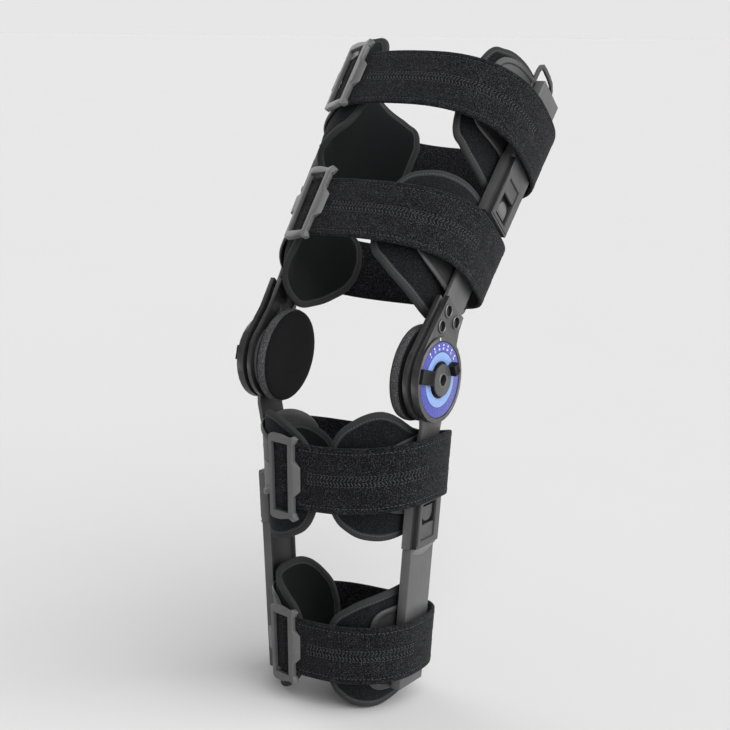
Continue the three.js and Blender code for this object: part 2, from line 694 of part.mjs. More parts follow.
function buckleGeometry(level) {
  const { leftEdge, lug, lugHalf, lugRoot, clear, thickness } = BUCKLE;
  const frame = new THREE.ExtrudeGeometry(buckleOutline(level), { depth: thickness, bevelEnabled: false });
  frame.translate(0, 0, clear);
  const through = [-STRAP_THICKNESS, clear + thickness / 2];
  const hook = boxOf([leftEdge - lug, leftEdge + lugRoot], [-lugHalf, lugHalf], through);
  return bendOntoStrap(combine(frame, [hook], []), level);
}

const brace = new THREE.Group();

function place(parent, name, geometry, material) {
  const mesh = new THREE.Mesh(geometry, material);
  mesh.name = name;
  parent.add(mesh);
}

const halves = { thigh: new THREE.Group(), calf: new THREE.Group() };
halves.thigh.rotation.x = -THREE.MathUtils.degToRad(FLEXION_DEG);
brace.add(halves.thigh, halves.calf);

for (const side of ["right", "left"]) {
  const thigh = new THREE.Group();
  const calf = new THREE.Group();
  thigh.scale.x = side === "right" ? 1 : -1;
  calf.scale.x = thigh.scale.x;
  halves.thigh.add(thigh);
  halves.calf.add(calf);

  place(thigh, `${side}_hinge_outer_plate`, hingeOuterPlate(side), MATERIALS.plate);
  place(thigh, `${side}_hinge_inner_plate`, hingeInnerPlate(side), MATERIALS.plate);
  const dial = ringOf(DIAL.outer, DIAL.inner, DIAL.back, DIAL.face, ROUND.cap);
  place(thigh, `${side}_dial_face`, dial, MATERIALS.dial);
  place(thigh, `${side}_hub`, hubGeometry(), MATERIALS.plate);
  place(thigh, `${side}_extension_stop`, stopGeometry(EXTENSION_STOP), MATERIALS.stop);
  place(thigh, `${side}_flexion_stop`, stopGeometry(FLEXION_STOP), MATERIALS.stop);
  const backing = discOf(CONDYLE.backing, LAYER.backing, LAYER.backingOuter, ROUND.pad);
  place(thigh, `${side}_condyle_backing`, backing, MATERIALS.plastic);
  place(thigh, `${side}_condyle_pad`, condylePad(), MATERIALS.pad);
  place(thigh, `${side}_thigh_bar`, barStrip("thigh", side), MATERIALS.bar);
  place(calf, `${side}_calf_bar`, calfBar(side), MATERIALS.bar);

  for (const [limb, group] of [["thigh", thigh], ["calf", calf]]) {
    place(group, `${side}_${limb}_extension`, extension(limb, side), MATERIALS.bar);
    place(group, `${side}_${limb}_latch_housing`, latchHousing(limb, side), MATERIALS.plastic);
    place(group, `${side}_${limb}_latch_button`, latchButton(limb, side), MATERIALS.plastic);
    for (const level of LEVELS.filter((one) => one.limb === limb)) {
      place(group, `${side}_${level.name}_carrier`, carrierGeometry(level, side), MATERIALS.plastic);
      place(group, `${side}_${level.name}_pad`, padGeometry(level, side), MATERIALS.pad);
    }
  }
}

for (const level of LEVELS) {
  place(halves[level.limb], `${level.name}_strap`, strapGeometry(level), MATERIALS.strap);
  place(halves[level.limb], `${level.name}_buckle`, buckleGeometry(level), MATERIALS.plastic);
}

export default brace;
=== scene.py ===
# Hinged leg brace: satin metal uprights with dial hinges, moulded grey frames, padded wings and brushed
# loop straps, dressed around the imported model. Metres, with the knee centre at the origin and +Z up.
import json
import math

import bpy
import numpy as np
from mathutils import Matrix, Vector

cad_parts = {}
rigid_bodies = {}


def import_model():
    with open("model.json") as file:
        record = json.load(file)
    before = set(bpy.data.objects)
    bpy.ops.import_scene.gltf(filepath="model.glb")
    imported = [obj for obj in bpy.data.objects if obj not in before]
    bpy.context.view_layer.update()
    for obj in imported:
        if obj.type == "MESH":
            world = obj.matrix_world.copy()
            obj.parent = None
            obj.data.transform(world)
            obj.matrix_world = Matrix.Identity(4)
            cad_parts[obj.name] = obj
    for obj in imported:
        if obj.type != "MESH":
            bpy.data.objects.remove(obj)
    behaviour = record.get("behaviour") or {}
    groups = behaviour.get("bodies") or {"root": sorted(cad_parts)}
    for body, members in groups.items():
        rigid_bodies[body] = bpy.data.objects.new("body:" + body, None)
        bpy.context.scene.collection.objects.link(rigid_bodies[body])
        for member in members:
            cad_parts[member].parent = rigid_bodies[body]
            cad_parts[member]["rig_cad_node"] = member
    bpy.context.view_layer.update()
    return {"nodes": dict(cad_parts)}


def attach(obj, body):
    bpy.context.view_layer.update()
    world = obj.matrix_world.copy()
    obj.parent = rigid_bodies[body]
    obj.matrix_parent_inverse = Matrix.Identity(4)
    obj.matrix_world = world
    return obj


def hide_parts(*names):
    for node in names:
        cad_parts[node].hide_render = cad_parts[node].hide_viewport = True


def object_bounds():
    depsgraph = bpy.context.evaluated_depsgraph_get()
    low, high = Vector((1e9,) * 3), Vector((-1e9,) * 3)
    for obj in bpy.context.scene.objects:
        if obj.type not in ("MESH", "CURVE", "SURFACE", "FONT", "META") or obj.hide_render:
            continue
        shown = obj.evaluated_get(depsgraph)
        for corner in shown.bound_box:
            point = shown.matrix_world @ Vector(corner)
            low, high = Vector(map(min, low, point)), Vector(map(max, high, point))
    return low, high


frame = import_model()


# Uprights: a flat painted strip leaves each hinge and runs in a pressed channel sleeve of the same metal.
# Both are blanked and folded from sheet, so their edges are softly broken and the paint is finely grained.
MM = 0.001
LIMBS = ("thigh", "calf")
SIDES = {"right": 1, "left": -1}
BAR_BEVEL = 0.5 * MM
SLEEVE_BEVEL = 0.9 * MM
LEG_SIDE = -0.5
WELD = 1e-6
FLAT = math.radians(0.5)
SHARP = math.radians(38)
CLOUD_SCALE = 60.0
CLOUD_BAND = (0.3, 0.7)
SPECK_BAND = (0.25, 0.75)
ROUGHNESS_SPREAD = (-0.06, 0.08)
FLECK = {"from": 0.55, "to": 0.75, "share": 0.35}
EDGE_HIGHLIGHT = {"from": 0.53, "to": 0.62, "share": 0.7}
PAINT_GRAIN = {"Strength": 0.12, "Distance": 0.2 * MM}


def new_material(name):
    material = bpy.data.materials.new(name)
    material.use_nodes = True
    return material, material.node_tree, material.node_tree.nodes["Principled BSDF"]


def add_node(tree, kind, inputs, **settings):
    node = tree.nodes.new(kind)
    for key, value in settings.items():
        setattr(node, key, value)
    for key, value in inputs.items():
        if isinstance(value, bpy.types.NodeSocket):
            tree.links.new(value, node.inputs[key])
        else:
            node.inputs[key].default_value = value
    return node


def math_of(tree, operation, *values):
    return add_node(tree, "ShaderNodeMath", dict(enumerate(values)), operation=operation).outputs[0]


def band_of(tree, value, low, high, start=0.0, end=1.0):
    numbers = {"Value": value, "From Min": low, "From Max": high, "To Min": start, "To Max": end}
    return add_node(tree, "ShaderNodeMapRange", numbers).outputs[0]


def mix_of(tree, share, a, b):
    pair = {0: share, 6: a, 7: b}
    return add_node(tree, "ShaderNodeMix", pair, data_type="RGBA").outputs[2]


def noise_of(tree, place, scale, detail=3.0):
    noise = {"Vector": place, "Scale": scale, "Detail": detail}
    return add_node(tree, "ShaderNodeTexNoise", noise).outputs[0]


def object_place(tree):
    return add_node(tree, "ShaderNodeTexCoord", {}).outputs["Object"]


# Paint or moulded plastic: a cloudy body with fine flecks and a fine grain, and a painted highlight that
# lightens its sharper edges.
def satin(name, dark, light, fleck_and_highlight, roughness, grain, metallic=0.0):
    material, tree, shader = new_material(name)
    place = object_place(tree)
    cloud = noise_of(tree, place, CLOUD_SCALE, 4.0)
    speck = noise_of(tree, place, grain, 2.0)
    body = mix_of(tree, band_of(tree, cloud, *CLOUD_BAND), dark, light)
    fleck = math_of(tree, "MULTIPLY", band_of(tree, speck, FLECK["from"], FLECK["to"]), FLECK["share"])
    flecked = mix_of(tree, fleck, body, fleck_and_highlight)
    # Painted highlight: the sharper edges, found by pointiness, are lightened towards the light tone.
    pointed = add_node(tree, "ShaderNodeNewGeometry", {}).outputs["Pointiness"]
    highlight_mask = band_of(tree, pointed, EDGE_HIGHLIGHT["from"], EDGE_HIGHLIGHT["to"])
    edge = math_of(tree, "MULTIPLY", highlight_mask, EDGE_HIGHLIGHT["share"])
    tree.links.new(mix_of(tree, edge, flecked, fleck_and_highlight), shader.inputs["Base Color"])
    rough = band_of(tree, speck, *SPECK_BAND, *(roughness + spread for spread in ROUGHNESS_SPREAD))
    tree.links.new(rough, shader.inputs["Roughness"])
    bump = add_node(tree, "ShaderNodeBump", {"Height": speck, **PAINT_GRAIN})
    tree.links.new(bump.outputs[0], shader.inputs["Normal"])
    shader.inputs["Metallic"].default_value = metallic
    return material


def choose(piece):
    bpy.ops.object.select_all(action="DESELECT")
    bpy.context.view_layer.objects.active = piece
    piece.select_set(True)


# A copy of a solid of the model, its doubles merged and its flat faces joined, ready to be dressed.
def copy_of(node):
    piece = frame["nodes"][node].copy()
    piece.data = piece.data.copy()
    piece.name = node + "_finished"
    del piece["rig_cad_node"]
    bpy.context.scene.collection.objects.link(piece)
    choose(piece)
    bpy.ops.mesh.customdata_custom_splitnormals_clear()
    bpy.ops.object.mode_set(mode="EDIT")
    bpy.ops.mesh.select_all(action="SELECT")
    bpy.ops.mesh.remove_doubles(threshold=WELD)
    bpy.ops.mesh.dissolve_limited(angle_limit=FLAT)
    bpy.ops.object.mode_set(mode="OBJECT")
    return piece


def round_edges(piece, width, segments=2):
    choose(piece)
    rounded = piece.modifiers.new("rounded", "BEVEL")
    rounded.width = width
    rounded.segments = segments
    rounded.limit_method = "ANGLE"
    rounded.angle_limit = SHARP
    rounded.harden_normals = False
    bpy.ops.object.modifier_apply(modifier="rounded")
    bpy.ops.object.shade_smooth_by_angle(angle=SHARP)


# Gives a finished piece its material and the body it moves with, and hides the solids that it replaces.
def fit_out(piece, body, slot, material, *nodes):
    piece.data.materials.clear()
    piece.data.materials.append(material)
    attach(piece, body)
    if nodes:
        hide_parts(*nodes)


# Gives one more material to the faces of a piece that a test picks out.
def paint_faces(piece, material, test):
    piece.data.materials.append(material)
    number = len(piece.data.materials) - 1
    for face in piece.data.polygons:
        if test(face.center, face.normal):
            face.material_index = number


bar_paint = satin(
    "bar_paint", (0.072, 0.073, 0.074, 1), (0.09, 0.091, 0.092, 1), (0.17, 0.17, 0.17, 1), 0.45, 2600.0, 0.2)
# Near-black painted shade: it stands in for the shade on faces towards the leg and inside recesses, not for a
# black finish.
painted_shade_black = satin(
    "painted_shade_black", (0.008, 0.008, 0.0085, 1), (0.013, 0.013, 0.0135, 1), (0.022, 0.022, 0.022, 1), 0.6, 2600.0)
for side, sign in SIDES.items():
    for limb in LIMBS:
        strip = copy_of(f"{side}_{limb}_bar")
        round_edges(strip, BAR_BEVEL)
        fit_out(strip, limb, "bar_metal", bar_paint, f"{side}_{limb}_bar")
        sleeve = copy_of(f"{side}_{limb}_extension")
        round_edges(sleeve, SLEEVE_BEVEL, 3)
        fit_out(sleeve, limb, "bar_metal", bar_paint, f"{side}_{limb}_extension")
        # The faces of strip and sleeve that face the leg are painted near-black as shade.
        for piece in (strip, sleeve):
            paint_faces(piece, painted_shade_black, lambda place, normal: normal.x * sign < LEG_SIDE)


# Latches: a moulded housing clamps the mouth of each sleeve, stepped back at its front beside a raised plate.
# A springy tongue is moulded into the knee end of the plate's window, and a loose push button fills the other
# end; a pressed ramp on the sleeve leads up to the housing.
FLEXION = math.radians(43)
LEAF_MIDDLE = 79.95
LEAN = {
    ("thigh", "right"): ((30, 0), (72, 0.4), (150, 1.8), (290, 4.9)),
    ("thigh", "left"): ((30, 0), (150, 15.8), (290, 27.2)),
    ("calf", "right"): ((-280, -23.05), (-62, -4.85), (-38, 0)),
    ("calf", "left"): ((-280, -15.6), (-62, -4.9), (-38, 0)),
}
BAR_Y = {"thigh": -13, "calf": 0}
LATCHES = {
    "thigh": {"housing": (147, 205.6), "window": (152, 186), "plate": (148.2, 192)},
    "calf": {"housing": (-97, -140.4), "window": (-103.5, -134), "plate": (-98.5, -139)},
}
HOUSING_FACE = 7.85
HOUSING_HALF = 19.5
HOUSING_BEVEL = 0.9 * MM
STEP = {"front": -21, "rear": -15, "depth": 3.6}
LATCH_PLATE = {"height": 1.1, "sunk": 0.1, "bevel": 0.45}
LATCH_PLATE_ACROSS = (-14.5, -10.6, 10.6, 18.2)
WINDOW_MARGIN = 0.7
WINDOW_HALF = 10.3
TONGUE = {"length": 15.5, "half": 7.5, "corner": 6.4, "rounds": 8}
CORNER_SLACK = {"across": 0.3, "along": 0.9, "height": 1}
SLIT = {"half": 8.4, "length": 2.6, "depth": 3.8}
CUT_ABOVE = 1
SHADE = {"slack": 0.2, "floor": -6, "well": -3, "level": 0.8, "rim": 1}
BUTTON_INSET = 1.8 * MM
BUTTON_SINK = -0.45 * MM
BUTTON_BEVEL = 0.5 * MM
SLEEVE_FACE = 5.25
RAMP = {"half": 16.8, "length": 7.5, "height": 2.3, "sunk": 1.5, "lip": 0.15, "bow": 0.55, "columns": 10}
RAMP_GAP = 0.4
RAMP_BEVEL = 0.1 * MM


def pick_nothing(mesh):
    for part in (mesh.vertices, mesh.edges, mesh.polygons):
        part.foreach_set("select", [False] * len(part))


def pick_edges(piece, test):
    mesh = piece.data
    pick_nothing(mesh)
    for edge in mesh.edges:
        edge.select = test(*(mesh.vertices[i].co for i in edge.vertices))
    bpy.context.tool_settings.mesh_select_mode = (False, True, False)


# How far out the middle of a bar stands from the leg's middle, at a place along its limb, in millimetres.
def bar_middle(limb, side, along):
    places, outs = zip(*LEAN[limb, side])
    return LEAF_MIDDLE + np.interp(along, places, outs)


# A point of one limb, given outwards from the leg, from front to back and along the limb, in millimetres.
def on_limb(limb, side, out, y, along):
    turn = FLEXION if limb == "thigh" else 0
    x = out * SIDES[side]
    rear = y * math.cos(turn) + along * math.sin(turn)
    up = along * math.cos(turn) - y * math.sin(turn)
    return np.stack(np.broadcast_arrays(x, rear, up), axis=-1) * MM


# The place of a flat detail on an upright: its x runs across the bar, its y along it and its z outwards.
def upright_frame(limb, side, along, out):
    step = 10
    here = Vector(on_limb(limb, side, bar_middle(limb, side, along) + out, BAR_Y[limb], along))
    ahead = Vector(on_limb(limb, side, bar_middle(limb, side, along + step) + out, BAR_Y[limb], along + step))
    up = (ahead - here).normalized()
    outwards = Vector((SIDES[side], 0, 0))
    outwards = (outwards - up * outwards.dot(up)).normalized()
    across = up.cross(outwards)
    return Matrix.Translation(here) @ Matrix((across, up, outwards)).transposed().to_4x4()


# A flat plate from a grid of cells: the places of its lines both ways, and the cells that stay.
def cell_plate(name, across, along, kept, height):
    bpy.ops.object.select_all(action="DESELECT")
    bpy.ops.mesh.primitive_grid_add(x_subdivisions=len(across) - 1, y_subdivisions=len(along) - 1, size=1)
    plate = bpy.context.object
    plate.name = name
    mesh = plate.data
    for face in mesh.polygons:
        column = int((face.center.x + 0.5) * (len(across) - 1))
        row = int((face.center.y + 0.5) * (len(along) - 1))
        face.select = (column, row) not in kept
    for vertex in mesh.vertices:
        column = round((vertex.co.x + 0.5) * (len(across) - 1))
        row = round((vertex.co.y + 0.5) * (len(along) - 1))
        vertex.co = (across[column], along[row], 0)
    bpy.context.tool_settings.mesh_select_mode = (False, False, True)
    bpy.ops.object.mode_set(mode="EDIT")
    bpy.ops.mesh.delete(type="FACE")
    bpy.ops.object.mode_set(mode="OBJECT")
    wall = plate.modifiers.new("wall", "SOLIDIFY")
    wall.thickness = height
    wall.offset = 1
    bpy.ops.object.modifier_apply(modifier="wall")
    return plate


# Sinks the middle of one face, leaving a rim round it.
def sink_face(piece, face, rim, depth):
    pick_nothing(piece.data)
    face.select = True
    choose(piece)
    bpy.context.tool_settings.mesh_select_mode = (False, False, True)
    bpy.ops.object.mode_set(mode="EDIT")
    bpy.ops.mesh.inset(thickness=rim, depth=depth)
    bpy.ops.object.mode_set(mode="OBJECT")


# Cuts a box out of a piece, given by two corners in millimetres in the frame of a place on the upright.
def cut_box(piece, place, low, high):
    bpy.ops.object.select_all(action="DESELECT")
    bpy.ops.mesh.primitive_cube_add(size=1)
    cutter = bpy.context.object
    low, high = Vector(low) * MM, Vector(high) * MM
    cutter.data.transform(place @ Matrix.Translation((low + high) / 2) @ Matrix.Diagonal((*(high - low), 1)))
    choose(piece)
    cut = piece.modifiers.new("cut", "BOOLEAN")
    cut.solver = "EXACT"
    cut.object = cutter
    bpy.ops.object.modifier_apply(modifier="cut")
    bpy.data.objects.remove(cutter)


frame_plastic = satin(
    "frame_plastic", (0.043, 0.0435, 0.0445, 1), (0.057, 0.0575, 0.0585, 1), (0.14, 0.14, 0.142, 1),
    0.42, 3200.0)
# The ramp is painted a lighter grey than the sleeve's own metal, a painted highlight on its sloped shoulder.
ramp_highlight_paint = satin(
    "ramp_highlight_paint", (0.14, 0.14, 0.141, 1), (0.17, 0.17, 0.171, 1), (0.24, 0.24, 0.24, 1), 0.4, 2600.0, 0.2)
for side, sign in SIDES.items():
    for limb, latch in LATCHES.items():
        near, far = latch["housing"]
        away = 1 if far > near else -1
        middle = (near + far) / 2
        face_place = upright_frame(limb, side, middle, HOUSING_FACE)
        to_local = face_place.inverted()
        opening = [place - middle for place in latch["window"]]

        housing = copy_of(f"{side}_{limb}_latch_housing")
        tip = opening[0] + TONGUE["length"] * away

        def at_tongue_corner(a, b):
            spots = [to_local @ point / MM for point in (a, b)]
            at_tip = all(abs(spot.y - tip) < CORNER_SLACK["along"] for spot in spots)
            at_side = all(abs(abs(spot.x) - TONGUE["half"]) < CORNER_SLACK["across"] for spot in spots)
            return at_tip and at_side and abs(spots[0].z - spots[1].z) > CORNER_SLACK["height"]

        pick_edges(housing, at_tongue_corner)
        bpy.ops.object.mode_set(mode="EDIT")
        bpy.ops.mesh.bevel(offset=TONGUE["corner"] * MM, segments=TONGUE["rounds"])
        bpy.ops.object.mode_set(mode="OBJECT")
        step = sorted((STEP["front"] * sign, STEP["rear"] * sign))
        past_end = abs(far - near)
        cut_box(housing, face_place, (step[0], -past_end, -STEP["depth"]), (step[1], past_end, CUT_ABOVE))
        slit = sorted((opening[0], opening[0] + SLIT["length"] * away))
        cut_box(
            housing, face_place, (-SLIT["half"], slit[0], -SLIT["depth"]), (SLIT["half"], slit[1], CUT_ABOVE))
        round_edges(housing, HOUSING_BEVEL, 3)
        fit_out(housing, limb, "frame_plastic", frame_plastic, f"{side}_{limb}_latch_housing")

        def in_shade(place, normal):
            spot = to_local @ place / MM
            facing = (to_local.to_3x3() @ normal).z
            slack = SHADE["slack"]
            in_window = abs(spot.x) < WINDOW_HALF and min(opening) - slack < spot.y < max(opening) + slack
            walled = in_window and (facing < SHADE["level"] or spot.z < SHADE["well"])
            on_step = step[0] - slack < spot.x < step[1] + slack
            stepped = on_step and abs(spot.x) < HOUSING_HALF - SHADE["rim"]
            sunk = SHADE["floor"] < spot.z < -slack
            return normal.x * sign < LEG_SIDE or (sunk and (stepped or walled))

        # Painted shade: the window's walls and floor, the stepped rebate and the faces towards the leg are
        # painted near-black.
        paint_faces(housing, painted_shade_black, in_shade)

        across = sorted(place * sign * MM for place in LATCH_PLATE_ACROSS)
        along = [place - middle for place in latch["plate"]]
        along += [opening[0] - WINDOW_MARGIN * away, opening[1] + WINDOW_MARGIN * away]
        along = sorted(place * MM for place in along)
        # All the cells but the middle one, which is left open for the window.
        kept = [(column, row) for column in range(3) for row in range(3) if (column, row) != (1, 1)]
        plate = cell_plate(f"{side}_{limb}_latch_plate", across, along, kept, LATCH_PLATE["height"] * MM)
        round_edges(plate, LATCH_PLATE["bevel"] * MM, 3)
        plate.data.transform(upright_frame(limb, side, middle, HOUSING_FACE - LATCH_PLATE["sunk"]))
        fit_out(plate, limb, "frame_plastic", frame_plastic)

        button_node = f"{side}_{limb}_latch_button"
        button = copy_of(button_node)
        outer_face = max(button.data.polygons, key=lambda p: p.normal.x * sign)
        sink_face(button, outer_face, BUTTON_INSET, BUTTON_SINK)
        round_edges(button, BUTTON_BEVEL)
        fit_out(button, button_node, "frame_plastic", frame_plastic, button_node)

        across = np.linspace(-RAMP["half"], RAMP["half"], RAMP["columns"] + 1) * MM
        along = sorted((0, RAMP["length"] * away * MM))
        kept = [(column, 0) for column in range(RAMP["columns"])]
        thickness = (RAMP["sunk"] + RAMP["height"]) * MM
        ramp = cell_plate(f"{side}_{limb}_sleeve_ramp", across, along, kept, thickness)
        for vertex in ramp.data.vertices:
            if vertex.co.y * away > MM:
                vertex.co.y *= 1 - RAMP["bow"] * (vertex.co.x / RAMP["half"] / MM) ** 2
                vertex.co.z = min(vertex.co.z, (RAMP["sunk"] + RAMP["lip"]) * MM)
        round_edges(ramp, RAMP_BEVEL)
        ramp.data.transform(upright_frame(limb, side, far + RAMP_GAP * away, SLEEVE_FACE - RAMP["sunk"]))
        fit_out(ramp, limb, "bar_metal", ramp_highlight_paint)


# Hinges: two painted plates hold the calf leaf between them, riveted through the neck with hollow eyelets.
# The outer plate is turned up into a round cap with a painted index line; a flanged hub closes its middle.
PLATE_BEVEL = 0.7 * MM
PLATE_SIDE = 0.6
HUB_BEVEL = 0.4 * MM
HUB_HOLE = 4.9
HUB_MOUTH = 91.0
HUB_RIM = 91.25
RIVETS = ((-25, 50), (-25, 35), (-8, 50))
RIVET_SIDES = 32
RIVET_RING = {"radius": 5.05, "wire": 0.75, "wire_sides": 12}
RIVET_BORE = {"radius": 4.6, "length": 9.5, "sunk": 6.9, "rim": 1.2, "dish": -1.5}
NECK_FACE = 86.6
CAP_FACE = 88.5
INDEX = {"radius": 33.2, "length": 2.6, "width": 1.1, "height": 0.25, "bevel": 0.08}


def join_pieces(main, *others):
    bpy.ops.object.select_all(action="DESELECT")
    for piece in (main, *others):
        piece.select_set(True)
    bpy.context.view_layer.objects.active = main
    bpy.ops.object.join()


# The places of a side's three rivets, so far outwards from the face of the neck.
def rivet_places(side, out):
    places = []
    for y, along in RIVETS:
        face = NECK_FACE + bar_middle("thigh", side, along) - LEAF_MIDDLE
        places.append(Matrix.Translation(Vector(on_limb("thigh", side, face + out, y, along))))
    return places


hinge_paint = satin(
    "hinge_paint", (0.056, 0.056, 0.057, 1), (0.072, 0.072, 0.073, 1), (0.16, 0.16, 0.16, 1),
    0.4, 2800.0, 0.2)
# Near-black painted shade for the side walls of the hinge plates; their rims stay glossy.
plate_side_shade = satin(
    "plate_side_shade", (0.014, 0.014, 0.0145, 1), (0.02, 0.02, 0.0205, 1), (0.13, 0.13, 0.13, 1),
    0.37, 2800.0, 0.2)
rivet_steel = satin(
    "rivet_steel", (0.13, 0.13, 0.13, 1), (0.17, 0.17, 0.17, 1), (0.3, 0.3, 0.3, 1), 0.3, 2400.0, 0.8)
index_paint = satin(
    "index_paint", (0.8, 0.8, 0.8, 1), (0.86, 0.86, 0.86, 1), (0.9, 0.9, 0.9, 1), 0.5, 3000.0)
for side, sign in SIDES.items():
    for plate in ("hinge_outer_plate", "hinge_inner_plate"):
        piece = copy_of(f"{side}_{plate}")
        round_edges(piece, PLATE_BEVEL, 3)
        fit_out(piece, "thigh", "hinge_metal", hinge_paint, f"{side}_{plate}")
        # The side walls of each plate are painted near-black as shade.
        paint_faces(piece, plate_side_shade, lambda place, normal: normal.x * sign < PLATE_SIDE)

    hub = copy_of(f"{side}_hub")
    round_edges(hub, HUB_BEVEL, 3)
    fit_out(hub, "thigh", "hinge_metal", hinge_paint, f"{side}_hub")
    # Painted shade: the faces inside the hub's bore are painted near-black.
    paint_faces(hub, painted_shade_black, lambda place, normal: (
        math.hypot(place.y, place.z) < HUB_HOLE * MM and abs(place.x) < HUB_MOUTH * MM))
    paint_faces(hub, rivet_steel, lambda place, normal: abs(place.x) > HUB_RIM * MM)

    bores = []
    for place in rivet_places(side, -RIVET_BORE["sunk"]):
        bpy.ops.object.select_all(action="DESELECT")
        bpy.ops.mesh.primitive_cylinder_add(
            vertices=RIVET_SIDES, radius=RIVET_BORE["radius"] * MM, depth=RIVET_BORE["length"] * MM)
        bore = bpy.context.object
        bore.data.transform(place @ Matrix.Rotation(math.pi / 2, 4, "Y"))
        outer_end = max(bore.data.polygons, key=lambda p: p.normal.x * sign)
        sink_face(bore, outer_end, RIVET_BORE["rim"] * MM, RIVET_BORE["dish"] * MM)
        bores.append(bore)
    join_pieces(*bores)
    bores[0].name = f"{side}_rivet_bores"
    # The sunk rivet bores are painted near-black, as shade inside the hollow rivets.
    fit_out(bores[0], "thigh", "hinge_metal", painted_shade_black)

    rings = []
    for place in rivet_places(side, 0):
        bpy.ops.object.select_all(action="DESELECT")
        bpy.ops.mesh.primitive_torus_add(
            major_segments=RIVET_SIDES, minor_segments=RIVET_RING["wire_sides"],
            major_radius=RIVET_RING["radius"] * MM, minor_radius=RIVET_RING["wire"] * MM)
        ring = bpy.context.object
        lean_back = Matrix.Rotation(-FLEXION, 4, "X")
        ring.data.transform(place @ lean_back @ Matrix.Rotation(math.pi / 2, 4, "Y"))
        rings.append(ring)
    join_pieces(*rings)
    rings[0].name = f"{side}_hinge_eyelets"
    bpy.ops.object.shade_smooth()
    fit_out(rings[0], "thigh", "hinge_metal", rivet_steel)

    bpy.ops.object.select_all(action="DESELECT")
    bpy.ops.mesh.primitive_cube_add(size=1)
    line = bpy.context.object
    line.name = f"{side}_index_line"
    line.data.transform(Matrix.Diagonal((INDEX["height"] * MM, INDEX["width"] * MM, INDEX["length"] * MM, 1)))
    round_edges(line, INDEX["bevel"] * MM)
    line.data.transform(Matrix.Translation((CAP_FACE * MM * sign, 0, INDEX["radius"] * MM)))
    fit_out(line, "thigh", "dial_print", index_paint)


# Dial: a printed plastic ring let into the cap, a pale inner scale inside a deeper blue one.
# White dots and plain degree numbers run along its upper arc, one for each step of the stops.
DIAL_RINGS = {"pale_to": 22.3, "line_to": 23.0, "blue_to": 30.3}
DIAL_BEVEL = 0.2 * MM
DOTS = {"radius": 28.3, "step": 15.0, "first": 18.5, "count": 8, "size": 0.85}
NUMBER = {"radius": 25.2, "size": 2.7, "face": 88.34, "height": 0.06}
FACING = {
    "right": Matrix(((0, 0, 1), (1, 0, 0), (0, 1, 0))).to_4x4(),
    "left": Matrix(((0, 0, -1), (-1, 0, 0), (0, 1, 0))).to_4x4(),
}
PALE_BLUE = (0.2, 0.33, 0.62, 1)
DEEP_BLUE = (0.045, 0.055, 0.34, 1)
DIAL_LINE = (0.012, 0.014, 0.09, 1)
DOT_WHITE = (0.7, 0.72, 0.8, 1)
PRINT_CLOUD = (0.1, 0.13, 0.4, 1)
PRINT_SCALE = 900.0
PRINT_SHADE = (0.0, 0.1)
PRINT_ROUGHNESS = (0.24, 0.36)
PRINT_COAT = 0.3


def length_of(tree, a, b):
    squares = math_of(tree, "ADD", math_of(tree, "MULTIPLY", a, a), math_of(tree, "MULTIPLY", b, b))
    return math_of(tree, "SQRT", squares)


dial_print, tree, shader = new_material("dial_print")
_, y, z = add_node(tree, "ShaderNodeSeparateXYZ", {0: object_place(tree)}).outputs
radius = math_of(tree, "MULTIPLY", length_of(tree, y, z), 1 / MM)
angle = math_of(tree, "MULTIPLY", math_of(tree, "ARCTAN2", z, y), 180 / math.pi)
ink = mix_of(tree, math_of(tree, "GREATER_THAN", radius, DIAL_RINGS["pale_to"]), PALE_BLUE, DIAL_LINE)
ink = mix_of(tree, math_of(tree, "GREATER_THAN", radius, DIAL_RINGS["line_to"]), ink, DEEP_BLUE)
ink = mix_of(tree, math_of(tree, "GREATER_THAN", radius, DIAL_RINGS["blue_to"]), ink, DIAL_LINE)
from_first = math_of(tree, "ADD", math_of(tree, "SUBTRACT", angle, DOTS["first"]), DOTS["step"] / 2)
within = math_of(tree, "FLOORED_MODULO", from_first, DOTS["step"])
within = math_of(tree, "SUBTRACT", within, DOTS["step"] / 2)
across = math_of(tree, "MULTIPLY", math_of(tree, "MULTIPLY", within, math.pi / 180), radius)
away = math_of(tree, "SUBTRACT", radius, DOTS["radius"])
shown = math_of(tree, "MULTIPLY", math_of(tree, "GREATER_THAN", from_first, 0.0), math_of(
    tree, "LESS_THAN", from_first, DOTS["step"] * DOTS["count"]))
in_dot = math_of(tree, "LESS_THAN", length_of(tree, across, away), DOTS["size"])
ink = mix_of(tree, math_of(tree, "MULTIPLY", in_dot, shown), ink, DOT_WHITE)
cloud = noise_of(tree, object_place(tree), PRINT_SCALE)
printed = mix_of(tree, band_of(tree, cloud, *CLOUD_BAND, *PRINT_SHADE), ink, PRINT_CLOUD)
tree.links.new(printed, shader.inputs["Base Color"])
tree.links.new(band_of(tree, cloud, *CLOUD_BAND, *PRINT_ROUGHNESS), shader.inputs["Roughness"])
shader.inputs["Coat Weight"].default_value = PRINT_COAT
